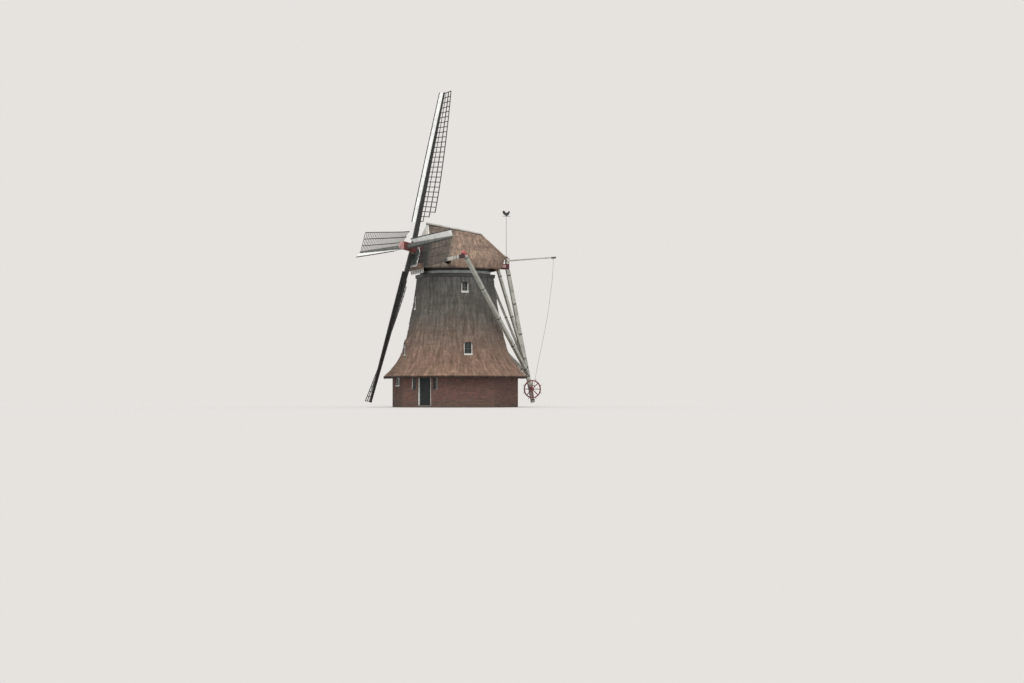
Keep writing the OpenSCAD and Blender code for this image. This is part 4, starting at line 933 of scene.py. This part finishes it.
def on_face(k):
    """x out of the face, y along it, z up."""
    out, along = face_frame(k)
    return Matrix(((out[0], along[0], 0, 0), (out[1], along[1], 0, 0), (0, 0, 1, 0), (0, 0, 0, 1)))


def turned(degrees, axis):
    return Matrix.Rotation(math.radians(degrees), 4, axis)


def spread(start, end, n):
    """n + 1 places from start to end."""
    return [start + (end - start) * s / n for s in range(n + 1)]


HUB = Vector((0, -3.47, 11.77))
ON_SHAFT = Matrix.Translation(HUB) @ Matrix.Rotation(-TILT, 4, "X")
UPRIGHT = Matrix(((1, 0, 0, 0), (0, 0, 1, 0), (0, 1, 0, 0), (0, 0, 0, 1)))   # swaps y and z
EIGHTH = math.tan(math.radians(22.5))   # half an octagon's side, where its middle is 1 from the centre
DOOR = on_face(7)


def on_blade(k):
    """z from the hub to the tip of blade k, x across it, y to the rear. The two stocks cross 0.4 apart."""
    return (ON_SHAFT @ turned(1.5, "Y") @ Matrix.Translation((0, 0.2 if k % 2 == 0 else -0.2, 0))
            @ turned(-90 * k, "Y") @ turned(2, "X"))


# ---------------------------------------------------------------- brickwork
def brickwork():
    """Bricks that stand a little proud of the mortar, with upright ones over the openings."""
    g = random.Random(61)
    verts, faces, shade = [], [], []
    back, face_x, length, height, joint, top_z = 4.318, 4.334, 0.21, 0.05, 0.01, 2.38
    sides = ((0, 3, 2, 1), (4, 5, 6, 7), (0, 1, 5, 4), (1, 2, 6, 5), (2, 3, 7, 6), (3, 0, 4, 7))

    def brick(k, u0, u1, z0, z1):
        if u1 - u0 < 0.02 or z1 - z0 < 0.02:
            return
        out, along = face_frame(k)
        front = face_x + g.uniform(-0.0015, 0.0015)
        b = len(verts)
        verts.extend(out * x + along * u + np.array([0, 0, z])
                     for x in (back, front) for u, z in ((u0, z0), (u1, z0), (u1, z1), (u0, z1)))
        faces.extend(tuple(b + i for i in side) for side in sides)
        shade.extend([g.uniform(0, 1)] * 8)

    half = face_x * EIGHTH - 0.001
    for k in range(8):
        holes, uprights = [], []
        if k in (2, 6):
            holes.append((-0.6, 0.6, 1.56, 2.16))
            uprights.append((-0.68, 0.68, 2.165, 2.375))
        if k == 7:
            holes.append((-0.55, 0.55, 0, 2.25))
            uprights.append((-0.66, 0.66, 2.255, 2.365))
            for c in (-0.9, 0.9):
                holes.append((c - 0.17, c + 0.17, 1.31, 2.16))
                uprights.append((c - 0.2, c + 0.2, 2.165, 2.25))
        row, z = 0, joint
        while z < top_z:
            top = min(z + height, top_z + 0.015)
            spans = [(-half, half)]
            for u0, u1, z0, z1 in holes + uprights:
                if z < z1 - 0.001 and top > z0 + 0.001:
                    parts = []
                    for a, b in spans:
                        if u1 <= a or u0 >= b:
                            parts.append((a, b))
                            continue
                        parts += ([(a, u0)] if u0 > a else []) + ([(u1, b)] if u1 < b else [])
                    spans = parts
            # Every other course starts half a brick back
            u = -half - (0.11 if row % 2 else 0.0)
            while u < half:
                end = u + length
                for a, b in spans:
                    brick(k, max(u, a), min(end, b), z, top)
                u = end + joint
            z += height + joint
            row += 1
        for u0, u1, z0, z1 in uprights:
            u = u0 + 0.005
            while u + height <= u1:
                brick(k, u, u + height, z0, z1)
                u += 0.06
    add_shade(piece("bricks", verts, faces, ["brick"], "tower"), shade)


brickwork()


# ---------------------------------------------------------------- door, windows
def door():
    kit = Kit()
    n, half, gap = 6, 0.464, 0.0035
    w = 2 * half / n
    for i in range(n):
        kit.box(DOOR, (4.155, -half + i * w + gap / 2, 0.16), (4.184, -half + (i + 1) * w - gap / 2, 2.164))
    for z in (0.42, 1.16, 1.92):
        kit.box(DOOR, (4.1355, -half + 0.01, z - 0.06), (4.1555, half - 0.01, z + 0.06), 0, 0.005)
    kit.make("door_boards", ["door"], "door", "door_paint", replaces=["door_leaf"])
    # A plate with a ring on a staple
    kit = Kit()
    kit.box(DOOR, (4.184, -0.395, 0.98), (4.188, -0.355, 1.16), 0, 0.002)
    rings = []
    for i in range(24):
        a = 2 * math.pi * i / 24
        c = Vector((4.196, -0.375 + 0.034 * math.sin(a), 1.04 + 0.034 * math.cos(a)))
        rad = Vector((0, math.sin(a), math.cos(a)))
        rings.append([DOOR @ (c + rad * x + Vector((y, 0, 0))) for x, y in ngon(0.005, 8)])
    kit.loft(rings + [rings[0]])
    kit.box(DOOR, (4.186, -0.381, 1.066), (4.203, -0.369, 1.082), 0, 0.002)
    kit.make("door_handle", ["iron"], "door", "iron")
    kit = Kit()
    kit.box(DOOR, (4.135, -0.466, 0.101), (4.346, 0.466, 0.152), 0, 0.012)
    kit.make("door_step", ["stone"], "tower", "brick")


def bars(kit, at, x, u, z, w, h, across, up):
    """Glazing bars on both sides of the glass, which lies from x to x + 0.01."""
    t = 0.018 / 2
    for c in spread(u - w / 2, u + w / 2, across)[1:-1]:
        kit.box(at, (x - 0.012, c - t, z - h / 2), (x + 0.024, c + t, z + h / 2))
    for c in spread(z - h / 2, z + h / 2, up)[1:-1]:
        kit.box(at, (x - 0.0115, u - w / 2, c - t), (x + 0.0235, u + w / 2, c + t))


def windows():
    kit, sills, heads = Kit(), Kit(), Kit()
    for k, z, w, h, edge in WINDOWS:
        at = on_face(k)
        x = window_plane(z, h) - 0.05
        bars(kit, at, x, 0, z, w - 0.12, h - 0.12, 2, 2 if h < 1.0 else 3)
        foot, lip = z - h / 2, z - h / 2 + (0.12 if edge > 0.1 else 0.15)
        sills.box(at, (x + 0.045, -w / 2 - 0.012, foot - 0.004), (x + 0.112, w / 2 + 0.012, lip - 0.03), 0, 0.008)
        sills.box(at, (x + 0.045, -w / 2 - 0.02, lip - 0.03), (x + 0.13, w / 2 + 0.02, lip), 0, 0.008)
        # A dark board over each frame's head is painted shadow, the shade under the thatch's brow
        heads.box(at, (x + 0.04, 0.1 - w / 2, z + h / 2 - 0.075), (x + 0.062, w / 2 - 0.1, z + h / 2 + 0.004), 0, 0.005)
    for k in (2, 6):
        bars(kit, on_face(k), 4.25, 0, 1.86, 1.08, 0.48, 4, 2)
        sills.box(on_face(k), (4.3, -0.63, 1.545), (4.375, 0.63, 1.615), 0, 0.01)
    for u in (-0.9, 0.9):
        bars(kit, DOOR, 4.25, u, 1.735, 0.25, 0.76, 1, 3)
        # Dark sills under the windows beside the door
        heads.box(DOOR, (4.3, u - 0.18, 1.296), (4.36, u + 0.18, 1.34), 0, 0.01)
    kit.make("glazing_bars", ["bar_grey"], "tower", "white_paint")
    heads.make("window_shadow_boards_and_sills", ["batten"], "tower", "beard_paint")
    sills.make("window_sills", ["white"], "tower", "white_paint")


door()
windows()


# ---------------------------------------------------------------- curb boards
def curb_boards():
    kit = Kit()
    g = random.Random(71)
    # Upright boards round the octagonal plate, under a drip board
    n, half = 16, 2.74 * EIGHTH - 0.004
    w = 2 * half / n
    top = 2.775 * EIGHTH
    for k in range(8):
        at = on_face(k)
        for i in range(n):
            kit.box(at, (2.738, -half + i * w + 0.003, 9.545 - g.uniform(0, 0.012)),
                    (2.757, -half + (i + 1) * w - 0.003, 9.745))
        kit.prism(at, [(2.60, -2.60 * EIGHTH), (2.785, -top), (2.785, top), (2.60, 2.60 * EIGHTH)], 9.742, 9.781, 1)
    kit.make("plate_boards", ["curb_dark", "batten"], "tower", "curb_paint")
    # The curb's face of bent boards: courses with their butt joints, the lower two pale in paint brightened as painted
    # light against the cap's shade, the upper two dark, which partly paints the shade under the cap
    kit = Kit()
    n = 14
    for lo, hi, r, mat in ((9.79, 9.924, 2.606, 1), (9.932, 9.985, 2.632, 1), (9.985, 10.078, 2.63, 0),
                           (10.088, 10.148, 2.606, 0)):
        profile = ((r - 0.016, lo), (r - 0.003, lo), (r, lo + 0.004), (r, hi - 0.004), (r - 0.003, hi), (r - 0.016, hi))
        for i in range(n):
            angles = spread(2 * math.pi * (i + 0.02) / n, 2 * math.pi * (i + 0.995) / n, 8)
            kit.loft([[(q * math.cos(a), q * math.sin(a), z) for q, z in profile] for a in angles], mat)
    kit.make("curb_boards", ["curb_dark", "curb_board"], "tower", "curb_paint")


curb_boards()


# ---------------------------------------------------------------- front of the cap
def gable():
    """Upright boards on the gable, each as tall as the thatch over it allows."""
    kit = Kit()
    y = 0.9238
    at = ON_SHAFT @ UPRIGHT   # x across, y up the gable, z along the shaft
    low_z, peak, half_w, n = 10.151, 13.185, 1.945, 22

    def top_at(u):
        return low_z + (peak - low_z) * (1 - min(1, abs(u) / half_w)) ** (2 / 3)

    def up(z):
        """Height z as a distance up the gable's plane."""
        return (z - HUB.z) / math.cos(TILT) + y * math.tan(TILT)

    w, low, hole = 3.8 / n, up(10.31), 0.33
    for i in range(n):
        u0, u1 = -1.9 + i * w + 0.003, -1.9 + (i + 1) * w - 0.003
        tops = [(u1, up(top_at(u1)) - 0.02), (u0, up(top_at(u0)) - 0.02)]
        if min(tops[0][1], tops[1][1]) < low + 0.03:
            continue
        foot = [(u0, low), (u1, low)]
        outlines = [foot + tops]
        # Boards stop clear of the windshaft's hole
        if min(abs(u0), abs(u1)) < 0.32 or u0 * u1 < 0:
            nearest = min(abs(u0), abs(u1)) if u0 * u1 > 0 else 0
            reach = math.sqrt(hole * hole - nearest * nearest)
            outlines = [foot + [(u1, -reach), (u0, -reach)], [(u0, reach), (u1, reach)] + tops]
        for outline in outlines:
            kit.prism(at, outline, y - 0.016, y + 0.002)
    # White boards across the peak, over the upright ones
    z = 12.16
    while z < 13.0:
        half = min(half_w * (1 - ((q - low_z) / 3.034) ** 1.5) for q in (z, z + 0.15)) - 0.03
        if half > 0.06:
            kit.prism(at, [(-half, up(z)), (half, up(z)), (half - 0.02, up(z + 0.146)), (-half + 0.02, up(z + 0.146))],
                      y - 0.034, y - 0.014, 1)
        z += 0.15
    kit.make("gable_boards", ["dark_green", "white"], "cap", "beard_paint")


def scalloped(half_w, low, top, shoulder, pitch, depth):
    """Outline of the beard, with lobes along its sides and foot, counter-clockwise from the lower left."""
    pts = []

    def run(x0, y0, x1, y1, ox, oy):
        n = max(1, round(math.hypot(x1 - x0, y1 - y0) / pitch))
        for i, s in product(range(n), range(6)):
            t = (i + s / 6) / n
            b = depth * math.sin(math.pi * s / 6) - depth
            pts.append((x0 + (x1 - x0) * t + ox * b, y0 + (y1 - y0) * t + oy * b))
    run(-half_w, low, half_w, low, 0, -1)
    run(half_w, low, half_w, top - shoulder, 1, 0)
    corner = [(half_w - depth - shoulder * math.sin(a) * 0.9, top - shoulder * math.cos(a))
              for a in (math.pi / 2 * i / 6 for i in range(7))]
    pts += corner
    # Round the windshaft's hole
    hole = 0.455
    start = math.atan2(top, math.sqrt(max(0, hole ** 2 - top ** 2)))
    for i in range(13):
        a = start - (math.pi + 2 * start) * i / 12
        pts.append((hole * math.cos(a), hole * math.sin(a)))
    pts += [(-x, y) for x, y in corner[::-1]]
    run(-half_w, top - shoulder, -half_w, low, -1, 0)
    return pts


def beard():
    kit = Kit()
    kit.prism(ON_SHAFT @ UPRIGHT, scalloped(1.25, -1.425, 0.06, 0.3, 0.34, 0.07), 0.412, 0.452, 0)
    kit.prism(ON_SHAFT @ UPRIGHT, scalloped(1.21, -1.385, -0.03, 0.24, 0.34, 0.2), 0.4055, 0.458, 1)
    kit.make("beard_boards", ["white", "dark_green"], "cap", "beard_paint", replaces=["beard"])


def comb():
    kit = Kit()
    n, half, w = 7, 1.55, 0.115
    pitch = 2 * half / n
    at = Matrix.Translation((0, -2.97, 0)) @ UPRIGHT
    kit.box(Matrix(), (-half, -2.955, 9.83), (half, -2.932, 10.13), 1, 0.005)
    kit.box(Matrix(), (-half, -2.97, 10.075), (half, -2.953, 10.13))
    for i in range(n + 1):
        # White tongues, half ones at the ends, and the arches that join their feet
        c = -half + i * pitch
        lo, hi = max(c - w, -half), min(c + w, half)
        kit.prism(at, [(lo, 9.87), (hi, 9.87), (hi, 10.077), (lo, 10.077)], 0.0, 0.017)
        if i < n:
            m = c + pitch / 2
            arc = [math.pi * j / 12 for j in range(13)]
            pts = [(m + (pitch / 2) * math.cos(a), 9.872 - 0.062 * math.sin(a)) for a in arc]
            pts += [(m - (pitch / 2 - w - 0.005) * math.cos(a), 9.872 - 0.012 * math.sin(a)) for a in arc]
            kit.prism(at, pts, 0.0, 0.017)
    kit.make("comb_fingers", ["white", "dark_green"], "cap", "white_paint", replaces=["comb_board"])


def ridge_cap():
    """White capping boards along the ridge."""
    kit = Kit()

    def top(y):
        return 13.61 - RIDGE_SLOPE * (y + 2.22)
    cuts = [-2.24, -0.9, 0.55, 2.02]
    profile = [(-0.145, -0.012), (-0.145, 0.022), (-0.06, 0.046), (0.06, 0.046), (0.145, 0.022), (0.145, -0.012),
               (0.131, -0.012), (0.131, 0.003), (-0.131, 0.003), (-0.131, -0.012)]
    for a, b in zip(cuts, cuts[1:]):
        kit.loft([[(x, y, top(y) + z) for x, z in profile] for y in spread(a + 0.002, b - 0.002, 4)])
    for y, x in product(cuts[1:-1] + [-2.1, 1.9], (-0.03, 0.03)):
        kit.bolt(Matrix.Translation((x, y + 0.05, top(y + 0.05) + 0.045)), 0.009, 0.008, 1)
    kit.make("ridge_capping", ["white", "iron"], "cap", "white_paint")


gable()
beard()
comb()
ridge_cap()


# ---------------------------------------------------------------- sails
BLADE = 11.8


def stock_half_w(r):
    return (0.26 + (0.11 - 0.26) * r / BLADE) / 2


def stock_half_d(r):
    return (0.35 + (0.11 - 0.35) * r / BLADE) / 2


def board_ring(at, r, points):
    """Points across a leading board at r from the hub: a from the stock outwards, n to the front."""
    slope = math.radians(29 + 27 * (BLADE - r) / 9.9)
    c, s = math.cos(slope), math.sin(slope)
    return [at @ Vector((-stock_half_w(r) - a * c + n * s, -a * s - n * c, r)) for a, n in points]


def leading_boards():
    kit = Kit()
    g = random.Random(81)
    start, tip = 1.9, BLADE
    for k in range(4):
        at = on_blade(k)
        for a0, a1 in ((0.018, 0.142), (0.146, 0.278), (0.282, 0.412)):
            cuts = [start + g.uniform(0, 0.01)]
            while cuts[-1] < tip - 3.4:
                cuts.append(cuts[-1] + g.uniform(2.6, 3.6))
            cuts.append(tip)
            plank = ((a0, 0.010), (a0 + 0.004, 0.0145), (a1 - 0.004, 0.0145), (a1, 0.010),
                     (a1, -0.0105), (a1 - 0.004, -0.0145), (a0 + 0.004, -0.0145), (a0, -0.0105))
            for r0, r1 in zip(cuts, cuts[1:]):
                steps = max(4, int((r1 - r0) / 0.4))
                rings = [board_ring(at, r, plank) for r in spread(r0 + 0.003, r1 - 0.003, steps)]
                kit.loft(rings, 0, {4: 1, 5: 1, 6: 1})   # its rear is dark
        batten = ((0.418, 0.033), (0.474, 0.033), (0.480, 0.027), (0.480, -0.027), (0.474, -0.033), (0.418, -0.033),
                  (0.414, -0.028), (0.414, 0.028))
        kit.loft([board_ring(at, r, batten) for r in spread(start, tip, 30)], 1)
        # Brackets behind the planks, from the stock to the batten
        bracket = ((0.03, -0.0145), (0.415, -0.0145), (0.415, -0.042), (0.0, -0.052))
        r = start + 0.12
        while r < tip - 0.05:
            kit.loft([board_ring(at, q, bracket) for q in (r - 0.02, r + 0.02)], 1)
            r += 0.82
    kit.make("leading_boards_painted", ["white_sail_lit", "batten"], "sails", "white_paint", replaces=["leading_boards"])


def stock_fittings():
    """Oak wedges that hold the stocks in the iron head, straps round the stocks and rivets up their fronts."""
    kit = Kit()
    for k in range(4):
        at = on_blade(k)
        for s in (-1, 1):
            wedge = at @ Matrix.Translation((s * 0.156, 0, 0.33))
            kit.box(wedge, (-0.028, -0.11, -0.12), (0.028, 0.11, 0.13), 1, 0.008)
        for r in (0.62, 1.35, 5.2):
            half_d = stock_half_d(r) + 0.009
            kit.strap(at, stock_half_w(r) + 0.009, half_d, r, 0.07, 0.012, 0.003)
            for s in (-1, 1):
                kit.bolt(at @ Matrix.Translation((0, s * half_d, r + 0.035)) @ turned(-90 * s, "X"), 0.018, 0.02)
        r = 0.9
        while r < 11.5:
            for s in (-1, 1):
                place = Matrix.Translation((s * (stock_half_w(r) - 0.03), -stock_half_d(r), r))
                kit.prism(at @ place @ turned(90, "X"), ngon(0.011, 6), -0.002, 0.006)
            r += 0.30
    kit.make("stock_fittings", ["stock_dark", "wedge"], "sails", "iron")


def back_stays():
    """Battens along the rear of each lattice, under its laths."""
    kit = Kit()
    for k, (v, start) in product(range(4), ((1.1 - 0.0275, 2.34), (1.65 - 0.0275, 2.71))):
        at = on_blade(k)
        rings = []
        for r in spread(start, 11.74, 30):
            a = math.radians(25 * (1 - max(0, (r - 3.0) / 8.8) ** 1.4))
            c, s = math.cos(a), math.sin(a)
            rings.append([at @ Vector((u * c - n * s, u * s + n * c, r))
                          for u, n in ((v - 0.02, 0.016), (v + 0.02, 0.016), (v + 0.02, 0.04), (v - 0.02, 0.04))])
        kit.loft(rings)
    kit.make("lattice_stays", ["lattice"], "sails", "lattice_wood")


leading_boards()
stock_fittings()
back_stays()


# ---------------------------------------------------------------- tail
POLE_TOP, POLE_FOOT = (0, 4.14, 10.301), (0, 6.17, 0.35)


def pole_y(z):
    """Where the middle of the tail pole is at height z."""
    return POLE_FOOT[1] - (z - POLE_FOOT[2]) * (POLE_FOOT[1] - POLE_TOP[1]) / (POLE_TOP[2] - POLE_FOOT[2])


def tail_fittings():
    kit = Kit()

    def straps(a, b, size, places):
        """Straps round the beam from a to b; a place below 0 counts from b."""
        a, b = Vector(a), Vector(b)
        d = b - a
        at = Matrix.Translation(a) @ Matrix.Rotation(math.atan2(d.y, d.x), 4, "Z") \
            @ Matrix.Rotation(math.acos(d.z / d.length), 4, "Y")
        for z in places:
            kit.strap(at, size[0] / 2 + 0.01, size[1] / 2 + 0.01, z if z > 0 else d.length + z, 0.07, 0.01, 0.002)

    for side in (-1, 1):
        straps((side * 5.7, -1.30, 11.1), (side * 0.1, pole_y(2.52), 2.52), (0.24, 0.24), (0.55, 3.6, 6.6, 9.4, -0.55))
        # The bolt through the brace and the spruit
        kit.bolt(Matrix.Translation((side * 5.7, -1.175, 10.98)) @ turned(-90, "X"), 0.03, 0.03)
        for x in (2.9, 4.4, 5.05, 6.1):
            kit.strap(Matrix.Translation((side * x, SPRUIT_Y, 10.75)) @ turned(90, "Y"), 0.13, 0.13, -0.03, 0.06, 0.01,
                      0.002)
        straps((side * 1.2, 2.95, 10.191), (side * 0.05, pole_y(3.12), 3.12), (0.19, 0.19), (0.5, 3.7, -0.6))
    straps(POLE_TOP, POLE_FOOT, (0.23, 0.27), (0.4, 2.6, 4.9, 6.9, 7.4, 8.1, 9.0, 9.9))
    kit.make("tail_straps", ["iron"], "cap", "iron")

    # Turned handles on the winch wheel
    kit = Kit()
    profile = ((0.655, 0.020), (0.69, 0.024), (0.72, 0.017), (0.78, 0.024), (0.81, 0.012))
    for i in range(8):
        at = Matrix.Translation((0.36, pole_y(1.35), 1.35)) @ turned(45 * i + 22.5, "X")
        kit.loft([[at @ Vector((0.035 + x, y, z)) for x, y in ngon(r, 8)] for z, r in profile])
    kit.make("winch_handles", ["red"], "cap", "red_paint", True)


tail_fittings()


# ---------------------------------------------------------------- light, floor
BACKDROP = lin(230, 227, 223)


def sky():
    """A soft pale light; what the camera, gloss and glass see of it is the backdrop."""
    world = bpy.data.worlds.new("studio")
    bpy.context.scene.world = world
    world.use_nodes = True
    nt = world.node_tree
    nt.nodes.clear()
    light = node(nt, "Background", {0: (0.97, 0.985, 1.0, 1), 1: 0.72})
    back = node(nt, "Background", {0: BACKDROP, 1: 1.0})
    path = node(nt, "LightPath").outputs
    seen = path["Is Camera Ray"]
    for ray in ("Is Glossy Ray", "Is Transmission Ray"):
        seen = node(nt, "Math", {0: seen, 1: path[ray]}, operation="MAXIMUM").outputs[0]
    pick = node(nt, "MixShader", {0: seen, 1: light.outputs[0], 2: back.outputs[0]})
    node(nt, "OutputWorld", {"Surface": pick.outputs[0]})


def sun(name, direction, strength, angle):
    light = bpy.data.lights.new(name, "SUN")
    light.energy = strength
    light.angle = math.radians(angle)
    o = bpy.data.objects.new(name, light)
    o.rotation_euler = Vector(direction).to_track_quat("-Z", "Y").to_euler()
    bpy.context.collection.objects.link(o)


def studio_floor():
    """A pale floor that keeps the object's shadow and passes into the backdrop far from the object."""
    n = 48
    floor = mesh_object("studio_floor", [(0, 0, 0)] + [(x, y, 0) for x, y in ngon(400, n)],
                        [(0, 1 + i, 1 + (i + 1) % n) for i in range(n)])
    mat = bpy.data.materials.new("studio_floor")
    mat.use_nodes = True
    nt = mat.node_tree
    nt.nodes.clear()
    near = node(nt, "BsdfDiffuse", {0: (0.655, 0.632, 0.605, 1)})
    other = node(nt, "BsdfDiffuse", {0: (0.52, 0.515, 0.50, 1)})
    haze = node(nt, "Emission", {0: BACKDROP})
    distance = node(nt, "VectorMath", {0: node(nt, "TexCoord").outputs["Object"]}, operation="LENGTH")
    fade = node(nt, "MapRange", {"Value": distance.outputs["Value"], "From Min": 12, "From Max": 110},
                interpolation_type="SMOOTHSTEP")
    far = node(nt, "MixShader", {0: fade.outputs[0], 1: near.outputs[0], 2: haze.outputs[0]})
    camera_ray = node(nt, "LightPath").outputs["Is Camera Ray"]
    pick = node(nt, "MixShader", {0: camera_ray, 1: other.outputs[0], 2: far.outputs[0]})
    node(nt, "OutputMaterial", {"Surface": pick.outputs[0]})
    floor.data.materials.append(mat)


sky()
sun("key", (-0.55, 0.25, -0.9), 1.8, 40)
sun("fill", (-0.9, 0.6, -0.15), 0.45, 60)
studio_floor()
